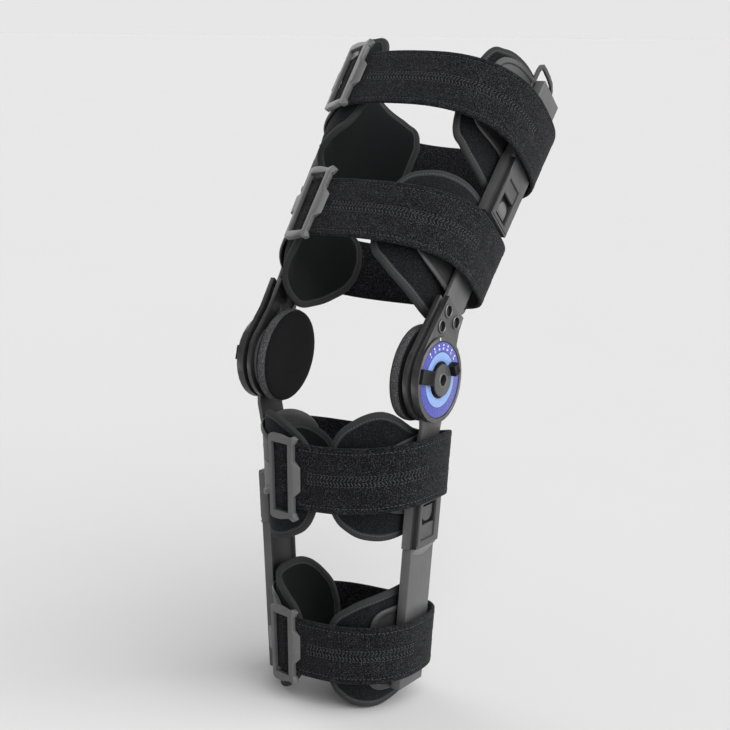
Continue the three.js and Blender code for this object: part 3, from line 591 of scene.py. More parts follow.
for side, sign in SIDES.items():
    dial = copy_of(f"{side}_dial_face")
    round_edges(dial, DIAL_BEVEL)
    fit_out(dial, "thigh", "dial_print", dial_print, f"{side}_dial_face")

    numbers = []
    for step in range(DOTS["count"]):
        turn = math.radians(DOTS["first"] + DOTS["step"] * step)
        if side == "left":
            turn = math.pi - turn
        bpy.ops.object.text_add()
        number = bpy.context.object
        number.data.body = str(int(DOTS["step"]) * (DOTS["count"] - 1 - step))
        number.data.align_x = "CENTER"
        number.data.align_y = "CENTER"
        number.data.size = NUMBER["size"] * MM
        number.data.extrude = NUMBER["height"] * MM
        number.data.resolution_u = 2
        bpy.ops.object.convert(target="MESH")
        upright = Matrix.Rotation(turn - math.pi / 2, 4, "Z")
        centre = Matrix.Translation(Vector((math.cos(turn), math.sin(turn), 0)) * NUMBER["radius"] * MM)
        on_face = Matrix.Translation((NUMBER["face"] * MM * sign, 0, 0))
        number.data.transform(on_face @ FACING[side] @ centre @ upright)
        numbers.append(number)
    join_pieces(*numbers)
    numbers[0].name = f"{side}_dial_numbers"
    fit_out(numbers[0], "thigh", "dial_print", index_paint)


# Stops: two gloss black arms that clip over the dial, one for each end of the knee's travel.
# Both are injection moulded, with a washer held under the hub's flange.
STOP_INSET = 2.2 * MM
STOP_SINK = -0.8 * MM
STOP_BEVEL = 0.6 * MM
STOP_SHINE = 0.12

stop_plastic = satin(
    "stop_plastic", (0.004, 0.004, 0.005, 1), (0.007, 0.007, 0.008, 1), (0.03, 0.03, 0.034, 1), 0.3, 2200.0)
stop_plastic.node_tree.nodes["Principled BSDF"].inputs["Specular IOR Level"].default_value = STOP_SHINE
for side, sign in SIDES.items():
    for stop in ("flexion_stop", "extension_stop"):
        arm = copy_of(f"{side}_{stop}")
        sink_face(arm, max(arm.data.polygons, key=lambda p: p.center.x * sign), STOP_INSET, STOP_SINK)
        round_edges(arm, STOP_BEVEL, 3)
        fit_out(arm, f"{side}_{stop}", "stop_plastic", stop_plastic, f"{side}_{stop}")


# Knee pads: an oval foam cushion behind each hinge, with a black face, a brushed grey gusset and sewn seams.
# A moulded disc holds it to the inner plate.
DISC_BEVEL = 0.6 * MM
CONDYLE = {"y": 1, "z": 5, "half_width": 35.5, "half_height": 41, "sides": 96}
CONDYLE_ROWS = (
    {"out": 59.1, "inset": 27, "gusset": 0}, {"out": 59.0, "inset": 14, "gusset": 0},
    {"out": 59.3, "inset": 6, "gusset": 0}, {"out": 60.0, "inset": 2.6, "gusset": 0},
    {"out": 60.9, "inset": 1.1, "gusset": 0}, {"out": 61.3, "inset": 1.7, "gusset": 0.5},
    {"out": 61.8, "inset": 0.7, "gusset": 1}, {"out": 63.6, "inset": 0.1, "gusset": 1},
    {"out": 66.0, "inset": 0, "gusset": 1}, {"out": 68.2, "inset": 0.4, "gusset": 1},
    {"out": 68.9, "inset": 1.6, "gusset": 0.5}, {"out": 69.4, "inset": 1.0, "gusset": 0},
    {"out": 70.2, "inset": 2.2, "gusset": 0}, {"out": 70.7, "inset": 5, "gusset": 0},
    {"out": 70.8, "inset": 16, "gusset": 0}, {"out": 70.8, "inset": 27, "gusset": 0},
)
CLOTH = {"Roughness": 0.95, "Specular IOR Level": 0.12, "Sheen Weight": 0.03, "Sheen Roughness": 0.6}
LIT_FIBRE = (0.48, 0.7)
LIT_TUFT = (0.2, 0.7, 0.45, 1.0)
TUFT = 9
NAP_STRENGTH = 0.55
PLAIN_WEAVE = 1800.0


# Brushed cloth: short fibres in two tones, with a soft sheen and a raised nap.
def brushed(tree, shader, dark, light, fibre, nap):
    place = object_place(tree)
    fine = noise_of(tree, place, fibre, 2.0)
    broad = noise_of(tree, place, fibre / TUFT, 3.0)
    lit = math_of(tree, "MULTIPLY", band_of(tree, fine, *LIT_FIBRE), band_of(tree, broad, *LIT_TUFT))
    for socket, value in CLOTH.items():
        shader.inputs[socket].default_value = value
    bump = {"Height": fine, "Strength": NAP_STRENGTH, "Distance": nap}
    return mix_of(tree, lit, dark, light), add_node(tree, "ShaderNodeBump", bump).outputs[0]


def attribute_of(tree, name):
    return add_node(tree, "ShaderNodeAttribute", {}, attribute_name=name).outputs["Fac"]


def face_outwards(piece):
    choose(piece)
    bpy.ops.object.mode_set(mode="EDIT")
    bpy.ops.mesh.select_all(action="SELECT")
    bpy.ops.mesh.normals_make_consistent(inside=False)
    bpy.ops.object.mode_set(mode="OBJECT")


def make_piece(name, points, faces):
    mesh = bpy.data.meshes.new(name)
    mesh.from_pydata([tuple(p) for p in points], [], faces)
    piece = bpy.data.objects.new(name, mesh)
    bpy.context.scene.collection.objects.link(piece)
    face_outwards(piece)
    bpy.ops.object.shade_smooth()
    return piece


def mark(piece, name, values):
    attribute = piece.data.attributes.new(name, "FLOAT", "POINT")
    attribute.data.foreach_set("value", np.asarray(values, np.float32).ravel())


# Faces of a closed shell of rings, each with so many points, with a flat end at both sides.
def ring_faces(around, rings):
    faces = []
    for ring in range(rings - 1):
        for i in range(around):
            a, b = ring * around + i, ring * around + (i + 1) % around
            faces.append((a, b, b + around, a + around))
    last = (rings - 1) * around
    return faces + [tuple(range(around))[::-1], tuple(range(last, last + around))]


cushion_cloth, tree, shader = new_material("knee_cushion")
gusset = attribute_of(tree, "gusset")
nap, lift = brushed(tree, shader, (0.042, 0.043, 0.045, 1), (0.17, 0.172, 0.177, 1), 1100.0, 0.5 * MM)
plain = noise_of(tree, object_place(tree), PLAIN_WEAVE)
plain = mix_of(tree, plain, (0.003, 0.003, 0.004, 1), (0.008, 0.008, 0.009, 1))
tree.links.new(mix_of(tree, gusset, plain, nap), shader.inputs["Base Color"])
tree.links.new(lift, shader.inputs["Normal"])
for side in SIDES:
    disc = copy_of(f"{side}_condyle_backing")
    round_edges(disc, DISC_BEVEL)
    fit_out(disc, "thigh", "frame_plastic", frame_plastic, f"{side}_condyle_backing")

    turn = np.linspace(0, 2 * np.pi, CONDYLE["sides"], endpoint=False)
    points = [on_limb(
        "thigh", side, row["out"], CONDYLE["y"] + (CONDYLE["half_width"] - row["inset"]) * np.cos(turn),
        CONDYLE["z"] + (CONDYLE["half_height"] - row["inset"]) * np.sin(turn)) for row in CONDYLE_ROWS]
    cushion = make_piece(
        f"{side}_knee_cushion", np.concatenate(points), ring_faces(CONDYLE["sides"], len(CONDYLE_ROWS)))
    mark(cushion, "gusset", np.repeat([row["gusset"] for row in CONDYLE_ROWS], CONDYLE["sides"]))
    fit_out(cushion, "thigh", "pad_fabric", cushion_cloth, f"{side}_condyle_pad")


# Wings: springy moulded plates that spread each upright's hold round the leg, two to a limb on each side.
# A raised rim runs round a sunk middle; the upper thigh ones end in an open loop above the sleeve.
BOSS_HALF = 12.5
BOSS_SUNK = 1.0
BOSS_FACE = -2.05
# Each level in millimetres: where its strap runs, how wide it is and how it rises and drops round the leg,
# where the wings sit on the bars, where the buckle comes, how far the wings reach, and where the pads go.
LEVELS = {
    "thigh_upper": {
        "limb": "thigh", "along": 235, "strap": 58, "centre": -21, "depth": 73, "strap_out": 98,
        "drop": 0, "rise": 8, "right_rise": -2.5, "seat": -4.05, "buckle": -120, "buckle_up": 4,
        "wing": 245, "half": 42, "front": {"right": 66, "left": 78}, "rear": 52, "corner": 5,
        "boss": None, "pads": {"right": 235, "left": 235},
    },
    "thigh_lower": {
        "limb": "thigh", "along": 112, "strap": 58, "centre": -16, "depth": 71, "strap_out": 91.4,
        "drop": 11, "rise": 18, "right_rise": 0, "seat": -2.05, "buckle": -110, "buckle_up": 1,
        "wing": 106.7, "half": 39.3, "front": {"right": 74, "left": 78}, "rear": 52, "corner": 2.4,
        "boss": None, "pads": {"right": 112, "left": 112},
    },
    "calf_upper": {
        "limb": "calf", "along": -80.5, "strap": 55.5, "centre": -2, "depth": 60, "strap_out": 87.5,
        "drop": 0, "rise": -9, "right_rise": 8.5, "seat": -4.05, "buckle": -100, "buckle_up": -2,
        "wing": -79, "half": 33, "front": {"right": 56, "left": 82}, "rear": 48, "corner": 2.4,
        "boss": (-82, -66), "pads": {"right": -74, "left": -85},
    },
    "calf_lower": {
        "limb": "calf", "along": -231, "strap": 50, "centre": -2, "depth": 52, "strap_out": 74.8,
        "drop": 0, "rise": 0, "right_rise": 5, "seat": -4.05, "buckle": -107, "buckle_up": 0,
        "wing": -228.5, "half": 37, "front": {"right": 42, "left": 58}, "rear": 44, "corner": 5,
        "boss": (-230, -214), "pads": {"right": -231, "left": -231},
    },
}
LOOP_POWER = 2.6
LOOP_STEPS = 1441
STRAP_THICKNESS = 3.0
STRAP_CLEAR = 0.4
LEAN_SPAN = 30
TUCK_BELOW = 85
OUTLINE_STEPS = 4001
WING_SIDES = 132
WING_RUN = {5: 0.985, 2.4: 0.95}
WING_ROWS = (
    {"edge": 6.2, "inset": 1.25}, {"edge": 5.3, "inset": 1.15}, {"edge": 4.7, "inset": 0.35},
    {"edge": 4.1, "inset": 0.02}, {"edge": 1.4, "inset": 0.02}, {"edge": 0.4, "inset": 0.45},
    {"edge": 0, "inset": 1.2}, {"edge": 0.3, "inset": 2.1}, {"edge": 1.0, "inset": 2.45},
)
WING_SHARES = (0.85, 0.68, 0.5, 0.32, 0.15)
TOP_LOOP = (
    (-18.5, 270), (-18.5, 284), (-18.5, 297), (-17.4, 302), (-14.4, 305), (-9, 305.6), (0, 305.6), (9, 305.2),
    (16.5, 302.8), (21, 298), (23.4, 290.5), (23.5, 280), (23.5, 270),
)
TOP_LOOP_HALF = 2.3
TOP_LOOP_DEPTH = (0.1, 2.4)
TOP_LOOP_BEVEL = 0.5 * MM


# A loop round the leg by its length from the bar: half widths at each side, half depth and middle.
def leg_loop(right, left, depth, centre, start):
    turn = np.linspace(-np.pi, np.pi, LOOP_STEPS)
    c, s = np.cos(turn), np.sin(turn)
    x = np.where(c >= 0, right, left) * np.sign(c) * np.abs(c) ** (2 / LOOP_POWER)
    y = centre + depth * np.sign(s) * np.abs(s) ** (2 / LOOP_POWER)
    length = np.concatenate([[0], np.cumsum(np.hypot(np.diff(x), np.diff(y)))])
    ahead = x > right / 2
    return {"turn": turn, "x": x, "y": y, "length": length - np.interp(start, y[ahead], length[ahead])}


# The point of a loop at a length from the bar, and the way out from there.
def on_loop(loop, length):
    step = 2
    find = [np.interp(length + d, loop["length"], loop[k]) for d in (0, -step, step) for k in ("x", "y")]
    x, y, x0, y0, x1, y1 = find
    size = np.hypot(x1 - x0, y1 - y0)
    return x, y, (y1 - y0) / size, (x0 - x1) / size


# How fast the bar of one side leans outwards at a level.
def wall_lean(level, side):
    span = LEAN_SPAN if level["limb"] == "thigh" else -LEAN_SPAN
    here = bar_middle(level["limb"], side, level["along"])
    return (bar_middle(level["limb"], side, level["along"] + span) - here) / span


# The wall of one side at a level, given by the length from the bar, the place along the limb and the inset.
def side_wall(level, side, tuck):
    limb = level["limb"]
    face = bar_middle(limb, side, level["along"]) + level["seat"]
    depth = level["depth"] - STRAP_THICKNESS - STRAP_CLEAR
    loop = leg_loop(face, face, depth, level["centre"], BAR_Y[limb])
    lean = wall_lean(level, side)

    def wall(length, place, inset):
        x, y, out_x, out_y = on_loop(loop, np.asarray(length, float))
        drawn_in = np.maximum(0, TUCK_BELOW - place) * tuck
        shift = (lean * (place - level["along"]) - drawn_in) * x / face
        return on_limb(limb, side, x - inset * out_x + shift, y - inset * out_y, np.asarray(place, float))

    return wall


# The outline of a wing with half sizes of one, in even steps; the larger the corner, the squarer it is.
def wing_outline(corner):
    turn = np.linspace(0, 2 * np.pi, OUTLINE_STEPS)
    c, s = np.cos(turn), np.sin(turn)
    x, y = np.sign(c) * np.abs(c) ** (2 / corner), np.sign(s) * np.abs(s) ** (2 / corner)
    run = np.concatenate([[0], np.cumsum(np.hypot(np.diff(x), np.diff(y)))])
    even = np.linspace(0, run[-1], WING_SIDES, endpoint=False)
    return np.interp(even, run, x), np.interp(even, run, y)


wing_plastic = satin(
    "wing_plastic", (0.018, 0.0182, 0.0187, 1), (0.026, 0.0263, 0.0268, 1), (0.12, 0.12, 0.122, 1),
    0.45, 3200.0)
for name, level in LEVELS.items():
    for side in SIDES:
        wall = side_wall(level, side, 0)
        unit_x, unit_y = wing_outline(level["corner"])
        reach = np.where(unit_x < 0, level["front"][side], level["rear"]) * WING_RUN[level["corner"]]

        def wing_ring(edge, inset, share):
            along = level["wing"] + unit_y * (level["half"] - edge) * share
            return wall(unit_x * (reach - edge) * share, along, inset)

        first, last = WING_ROWS[0], WING_ROWS[-1]
        rows = [wing_ring(first["edge"], first["inset"], share) for share in WING_SHARES[::-1]]
        rows += [wing_ring(row["edge"], row["inset"], 1) for row in WING_ROWS]
        rows += [wing_ring(last["edge"], last["inset"], share) for share in WING_SHARES]
        wing = make_piece(f"{side}_{name}_wing", np.concatenate(rows), ring_faces(WING_SIDES, len(rows)))
        bpy.ops.object.shade_smooth_by_angle(angle=SHARP)
        if level["boss"]:
            corners = [
                on_limb(level["limb"], side, bar_middle(level["limb"], side, along) + out, y, along)
                for along in level["boss"] for out, y in (
                    (level["seat"] - BOSS_SUNK, -BOSS_HALF), (BOSS_FACE, -BOSS_HALF),
                    (BOSS_FACE, BOSS_HALF), (level["seat"] - BOSS_SUNK, BOSS_HALF))
            ]
            boss = make_piece(f"{side}_{name}_boss", corners, ring_faces(4, 2))
            bpy.ops.object.shade_flat()
            join_pieces(wing, boss)
        if name == "thigh_upper":
            path = np.array(TOP_LOOP, float)
            ahead = np.gradient(path, axis=0)
            aside = np.stack([-ahead[:, 1], ahead[:, 0]], axis=1) / np.hypot(*ahead.T)[:, None]
            aside = aside * TOP_LOOP_HALF
            face, back = TOP_LOOP_DEPTH
            corners = [
                wall(*(path[i] + edge * aside[i]), inset) for i in range(len(path))
                for edge, inset in ((1, face), (-1, face), (-1, back), (1, back))
            ]
            loop = make_piece(f"{side}_top_loop", corners, ring_faces(4, len(path)))
            round_edges(loop, TOP_LOOP_BEVEL)
            join_pieces(wing, loop)
        fit_out(wing, level["limb"], "frame_plastic", wing_plastic, f"{side}_{name}_carrier")


# Pads: foam between brushed cloth outside and smooth cloth inside, sewn round with grey binding tape.
# Each is held to the inside of its wing by hook tape and bends round the leg with it.
PAD_REACH = {
    "thigh_upper": {"right": (80, 74), "left": (112, 78)},
    "thigh_lower": {"right": (104, 66), "left": (82, 66)},
    "calf_upper": {"right": (93, 62), "left": (113, 62)},
    "calf_lower": {"right": (83, 56), "left": (80, 56)},
}
PAD_PLACES = dict.fromkeys(LEVELS, (-1, -0.93, -0.75, -0.45, 0, 0.45, 0.75, 0.93, 1))
PAD_PLACES["calf_upper"] = (-1, -0.93, -0.75, -0.48, 0, 0.45, 0.75, 0.93, 1)
PAD_KNEE = {
    "thigh_upper": (14, 36, 50, 60, 64, 60, 48, 30, 12), "thigh_lower": (18, 38, 53, 64, 66, 48, 31, 16, 4),
    "calf_upper": (8, 26, 43, 51, 31, 26, 17, 6, -2), "calf_lower": (10, 25, 39, 50, 54, 50, 38, 24, 10),
}
PAD_FAR = {
    "thigh_upper": (28, 47, 56, 59, 57, 51, 46, 37, 22), "thigh_lower": (14, 29, 42, 49, 48, 46, 38, 26, 12),
    "calf_upper": (18, 36, 51, 58, 58, 56, 46, 30, 16), "calf_lower": (12, 28, 42, 49, 47, 42, 32, 20, 8),
}
PAD_GRID = (110, 56)
PAD_MIDDLE = 6.45
PAD_ROLL = 2.5
PAD_GROOVE = {"depth": 0.75, "from_binding": 0.4, "half": 0.8}
PAD_SWELL = {"height": 0.75, "run": 12}
SHORTEST = 1e-6
TUCK = 0.2
BINDING = 6.4
BINDING_SOFT = 0.15
BINDING_STITCH = {"row": 4.9, "half": 0.38, "pitch": 3.2, "length": 2.2, "height": 3.0}
BINDING_RELIEF = {"Strength": 0.3, "Distance": 0.25 * MM}
TWILL = 5.2
LINING_WEAVE = 2200.0


# Smooth values through a table, with straight ends, as the pads' outlines were drawn.
def smooth_through(places, values, at):
    places, values = np.array(places, float), np.array(values, float)
    i = np.clip(np.searchsorted(places, at, side="right"), 1, len(places) - 1)
    t0, t1, v0, v1 = places[i - 1], places[i], values[i - 1], values[i]
    before, after = i >= 2, i < len(places) - 1
    t_before = np.where(before, places[np.maximum(i - 2, 0)], t1)
    v_before = np.where(before, values[np.maximum(i - 2, 0)], v1)
    t_after = np.where(after, places[np.minimum(i + 1, len(places) - 1)], t0)
    v_after = np.where(after, values[np.minimum(i + 1, len(places) - 1)], v0)
    w_before, w_after = (t1 - t0) / 2 / (t0 - t_before), (t1 - t0) / 2 / (t_after - t1)
    p = (at - t0) / (t1 - t0)
    part_before = -w_before * p**3 + 2 * w_before * p**2 - w_before * p
    part_0 = (1 + w_before) * p**3 + (-1.5 - 2 * w_before) * p**2 + (w_before - 0.5) * p + 1
    part_1 = (-1 - w_after) * p**3 + (1.5 + w_after) * p**2 + 0.5 * p
    part_after = w_after * p**3 - w_after * p**2
    return part_before * v_before + part_0 * v0 + part_1 * v1 + part_after * v_after


# Half thickness of a pad by the distance from its edge: rolled binding, stitched groove, then foam.
def pad_half(edge):
    roll = PAD_ROLL * np.sqrt(1 - (1 - np.clip(edge / PAD_ROLL, 0, 1)) ** 2)
    off_groove = (edge - BINDING - PAD_GROOVE["from_binding"]) / PAD_GROOVE["half"]
    groove = PAD_GROOVE["depth"] * np.exp(-(off_groove**2))
    swell = np.clip((edge - BINDING) / PAD_SWELL["run"], 0, 1)
    return roll - groove + PAD_SWELL["height"] * swell * swell * (3 - 2 * swell)


pad_cloth, tree, shader = new_material("pad_cloth")
edge, inside, round_edge = (attribute_of(tree, n) for n in ("edge", "inside", "perimeter"))
outside_cloth, lift = brushed(
    tree, shader, (0.003, 0.0038, 0.0045, 1), (0.028, 0.0315, 0.036, 1), 1250.0, 0.5 * MM)
inside_cloth = noise_of(tree, object_place(tree), LINING_WEAVE)
inside_cloth = mix_of(tree, inside_cloth, (0.003, 0.0034, 0.0038, 1), (0.008, 0.0087, 0.0094, 1))
cloth = mix_of(tree, inside, outside_cloth, inside_cloth)
twill = math_of(tree, "SINE", math_of(tree, "ADD", math_of(
    tree, "MULTIPLY", round_edge, TWILL), math_of(tree, "MULTIPLY", edge, TWILL)))
tape = mix_of(tree, band_of(tree, twill, -1, 1), (0.022, 0.0225, 0.0235, 1), (0.044, 0.045, 0.046, 1))
off_row = math_of(tree, "ABSOLUTE", math_of(tree, "SUBTRACT", edge, BINDING_STITCH["row"]))
in_row = math_of(tree, "LESS_THAN", off_row, BINDING_STITCH["half"])
in_pitch = math_of(tree, "FLOORED_MODULO", round_edge, BINDING_STITCH["pitch"])
in_stitch = math_of(tree, "LESS_THAN", in_pitch, BINDING_STITCH["length"])
thread = math_of(tree, "MULTIPLY", in_row, in_stitch)
tape = mix_of(tree, thread, tape, (0.075, 0.076, 0.078, 1))
bound = band_of(tree, edge, BINDING - BINDING_SOFT, BINDING + BINDING_SOFT, 1.0, 0.0)
tree.links.new(mix_of(tree, bound, cloth, tape), shader.inputs["Base Color"])
woven = math_of(tree, "ADD", twill, math_of(tree, "MULTIPLY", thread, BINDING_STITCH["height"]))
woven = math_of(tree, "MULTIPLY", bound, woven)
weave = add_node(tree, "ShaderNodeBump", {"Height": woven, "Normal": lift, **BINDING_RELIEF})
tree.links.new(weave.outputs[0], shader.inputs["Normal"])
for name, level in LEVELS.items():
    for side in SIDES:
        wall = side_wall(level, side, TUCK if level["limb"] == "thigh" else 0)
        away = 1 if level["limb"] == "thigh" else -1
        columns, rows = PAD_GRID
        at = np.sin(np.linspace(-np.pi / 2, np.pi / 2, columns + 1))
        share = (1 - np.cos(np.linspace(0, np.pi, rows + 1))) / 2
        front, rear = PAD_REACH[name][side]
        knee = -smooth_through(PAD_PLACES[name], PAD_KNEE[name], at)
        far = smooth_through(PAD_PLACES[name], PAD_FAR[name], at)
        length = np.repeat(np.where(at < 0, at * front, at * rear)[:, None], rows + 1, axis=1)
        height = knee[:, None] + (far - knee)[:, None] * share[None, :]

        # How far each point lies from the pad's edge, and how far round the edge its nearest place is.
        rim = np.zeros(length.shape, bool)
        rim[0], rim[-1], rim[:, 0], rim[:, -1] = True, True, True, True
        border = np.concatenate([
            np.stack([length[:, 0], height[:, 0]], 1), np.stack([length[-1, 1:], height[-1, 1:]], 1),
            np.stack([length[-2::-1, -1], height[-2::-1, -1]], 1),
            np.stack([length[0, -2::-1], height[0, -2::-1]], 1)])
        starts, steps = border[:-1], np.diff(border, axis=0)
        sizes = np.maximum(np.hypot(*steps.T), SHORTEST)
        runs = np.concatenate([[0], np.cumsum(sizes)])[:-1]
        spots = np.stack([length.ravel(), height.ravel()], 1)
        along = np.clip(((spots[:, None] - starts) * steps).sum(2) / sizes**2, 0, 1)
        gaps = np.hypot(*np.moveaxis(spots[:, None] - starts - along[..., None] * steps, 2, 0))
        nearest = gaps.argmin(1)
        every = np.arange(len(spots))
        edge_distance = np.where(rim.ravel(), 0, gaps[every, nearest])
        perimeter = runs[nearest] + along[every, nearest] * sizes[nearest]

        # An outer and an inner face on the same grid, sharing the points of the rim.
        half = pad_half(edge_distance)
        place = level["pads"][side] + away * height.ravel()
        outer = wall(length.ravel(), place, PAD_MIDDLE - half)
        inner = wall(length.ravel(), place, PAD_MIDDLE + half)
        within = ~rim.ravel()
        numbers = every.copy()
        numbers[within] = len(spots) + np.arange(within.sum())
        faces = []
        for column in range(columns):
            for row in range(rows):
                a = column * (rows + 1) + row
                quad = (a, a + rows + 1, a + rows + 2, a + 1)
                faces.append(quad)
                faces.append(tuple(int(numbers[i]) for i in reversed(quad)))
        pad = make_piece(f"{side}_{name}_cushion", np.concatenate([outer, inner[within]]), faces)
        mark(pad, "edge", np.concatenate([edge_distance, edge_distance[within]]))
        mark(pad, "perimeter", np.concatenate([perimeter, perimeter[within]]))
        mark(pad, "inside", np.concatenate([np.zeros(len(spots)), np.ones(within.sum())]))
        fit_out(pad, level["limb"], "pad_fabric", pad_cloth, f"{side}_{name}_pad")


# Straps: wide elastic loop bands with turned hems, pulled round the limb through the buckle and back.
# A herringbone seam joins their two halves along the middle, and each hem is sewn down with a straight row.
STRAP_START = -15.6
STRAP_REAR = 146
STRAP_STATIONS = 200
STRAP_SHARP = math.radians(60)
HEM = 5.0
HEM_PROFILE = (
    (0, -1.35), (0.15, -0.7), (0.7, -0.15), (1.6, 0.1), (HEM - 0.7, 0.12), (HEM, -0.2), (HEM + 0.8, 0),
)
FACE_GRID = {"from_hem": 3, "from_seam": 1.2, "lines": 5}
SEAM_OUT = {"edge": -0.22, "middle": -0.12}
BACK_OUT = -2.65
BACK_GRID = {"from_edge": 6, "lines": 7}
BACK_EDGE = ((0.15, -2.0), (0.7, -2.5), (1.6, BACK_OUT))
RIB_PITCH = 1.9
RIB_BAND = (0.2, 1.0, 0.0, 0.45)
RIB_SHADE = (0.0035, 0.0035, 0.004, 1)
HERRINGBONE = {"half": 3.7, "gap": 0.15, "slant": 2.4, "pitch": 3.1, "start": 20, "stop": -16, "border": 0.7}
HEM_STITCH = {"length": 2.3, "pitch": 3.4, "start": 12, "stop": 4}
THREAD = 0.36
THREAD_LIFT = 0.05
THREAD_SCALE = 700.0
THREAD_ROUGHNESS = 0.7
THREAD_POINTS = (
    (0, 0, -0.1), (0.2, 1, 0), (0.2, 0, 1), (0.2, -1, 0),
    (0.8, 1, 0), (0.8, 0, 1), (0.8, -1, 0), (1, 0, -0.1),
)
THREAD_FACES = (
    (0, 1, 2), (0, 2, 3), (0, 3, 1), (1, 4, 5, 2), (2, 5, 6, 3),
    (3, 6, 4, 1), (4, 7, 5), (5, 7, 6), (6, 7, 4),
)
BULGE = {"height": 1.5, "middle": -4.0, "spread": 5.0}


# Half widths of a strap's loop at each side, measured to its outer face.
def strap_halves(level):
    left = bar_middle(level["limb"], "left", level["along"]) + level["seat"] + STRAP_CLEAR + STRAP_THICKNESS
    return {"right": level["strap_out"], "left": left}


def strap_loop(level):
    halves = strap_halves(level)
    return leg_loop(halves["right"], halves["left"], level["depth"], level["centre"], BAR_Y[level["limb"]])


# A point of a strap, by its length from the right bar, the height from its middle and the distance out.
def on_strap(level, length, height, out):
    x, y, out_x, out_y = on_loop(strap_loop(level), length)
    share = (y - level["centre"]) / level["depth"]
    to_right = np.maximum(0, x / level["strap_out"])
    rise = np.where(share < 0, -level["drop"], level["rise"]) * share * share
    rise = rise + level["right_rise"] * to_right * to_right + height
    leans = {side: wall_lean(level, side) / half for side, half in strap_halves(level).items()}
    lean = np.where(x > 0, leans["right"], leans["left"])
    x = x * (1 + lean * rise) + out * out_x
    return on_limb(level["limb"], "right", x, y + out * out_y, level["along"] + rise)


# The length from the right bar at which a strap has turned so far round the leg.
def strap_length(level, turn):
    loop = strap_loop(level)
    return np.interp(math.radians(turn), loop["turn"], loop["length"])


# Short sewn threads lying on a strap, each from a start to an end given by length and height.
def sew(name, level, starts, ends):
    starts, ends = np.array(starts, float), np.array(ends, float)
    ahead = (ends - starts) / np.hypot(*(ends - starts).T)[:, None]
    aside = np.stack([-ahead[:, 1], ahead[:, 0]], 1)
    flat, out = [], []
    for share, wide, high in THREAD_POINTS:
        flat.append(starts + (ends - starts) * share + aside * wide * THREAD)
        out.append(np.full(len(starts), high * THREAD + THREAD_LIFT))
    flat, out = np.stack(flat, 1).reshape(-1, 2), np.stack(out, 1).ravel()
    points = on_strap(level, flat[:, 0], flat[:, 1], out)
    count = len(THREAD_POINTS)
    faces = [tuple(count * i + k for k in face) for i in range(len(starts)) for face in THREAD_FACES]
    return make_piece(name, points, faces)


loop_cloth, tree, shader = new_material("strap_loop_cloth")
nap, lift = brushed(tree, shader, (0.001, 0.0011, 0.0015, 1), (0.068, 0.07, 0.08, 1), 1150.0, 0.6 * MM)
rib = math_of(tree, "SINE", math_of(tree, "MULTIPLY", attribute_of(tree, "run"), 2 * math.pi / RIB_PITCH))
ribbed = mix_of(tree, band_of(tree, rib, *RIB_BAND), nap, RIB_SHADE)
tree.links.new(ribbed, shader.inputs["Base Color"])
tree.links.new(lift, shader.inputs["Normal"])
strap_thread, tree, shader = new_material("strap_thread")
tone = noise_of(tree, object_place(tree), THREAD_SCALE)
tone = mix_of(tree, tone, (0.024, 0.0245, 0.027, 1), (0.066, 0.067, 0.072, 1))
tree.links.new(tone, shader.inputs["Base Color"])
shader.inputs["Roughness"].default_value = THREAD_ROUGHNESS
for name, level in LEVELS.items():
    half = level["strap"] / 2
    outer = [(h - half, o) for h, o in HEM_PROFILE]
    by_hem, by_seam = HEM + FACE_GRID["from_hem"] - half, -HERRINGBONE["half"] - FACE_GRID["from_seam"]
    outer += [(h, 0) for h in np.linspace(by_hem, by_seam, FACE_GRID["lines"])]
    outer += [(-HERRINGBONE["half"], SEAM_OUT["edge"]), (0, SEAM_OUT["middle"])]
    outer += [(-h, o) for h, o in outer[-2::-1]]
    by_edge = half - BACK_GRID["from_edge"]
    inner = [(half - h, o) for h, o in BACK_EDGE]
    inner += [(h, BACK_OUT) for h in np.linspace(by_edge, -by_edge, BACK_GRID["lines"])]
    inner += [(h - half, o) for h, o in BACK_EDGE[::-1]]
    section = np.array(outer + inner, float)
    window = strap_length(level, level["buckle"])
    begin, end = window + STRAP_START, strap_length(level, STRAP_REAR)
    stations = np.linspace(begin, end, STRAP_STATIONS)
    length = np.repeat(stations, len(section))
    height, out = np.tile(section, (STRAP_STATIONS, 1)).T
    out = out + BULGE["height"] * np.exp(-(((length - window - BULGE["middle"]) / BULGE["spread"]) ** 2))
    points = on_strap(level, length, height, out)
    band = make_piece(f"{name}_band", points, ring_faces(len(section), STRAP_STATIONS))
    bpy.ops.object.shade_smooth_by_angle(angle=STRAP_SHARP)
    mark(band, "run", length)

    middle = np.arange(window + HERRINGBONE["start"], HERRINGBONE["stop"], HERRINGBONE["pitch"])
    starts = [(s, HERRINGBONE["gap"] * way) for s in middle for way in (-1, 1)]
    ends = [(s + HERRINGBONE["slant"], HERRINGBONE["half"] * way) for s in middle for way in (-1, 1)]
    hem = np.arange(window + HEM_STITCH["start"], end - HEM_STITCH["stop"], HEM_STITCH["pitch"])
    for places, row in ((hem, half - HEM), (middle, HERRINGBONE["half"] + HERRINGBONE["border"])):
        for way in (-1, 1):
            starts += [(s, row * way) for s in places]
            ends += [(s + HEM_STITCH["length"], row * way) for s in places]
    seam = sew(f"{name}_stitching", level, starts, ends)
    fit_out(seam, level["limb"], "strap_elastic", strap_thread)
    flat = (level["strap"] * MM, float(end - begin) * MM)
    fit_out(band, level["limb"], "strap_elastic", loop_cloth, f"{name}_strap")


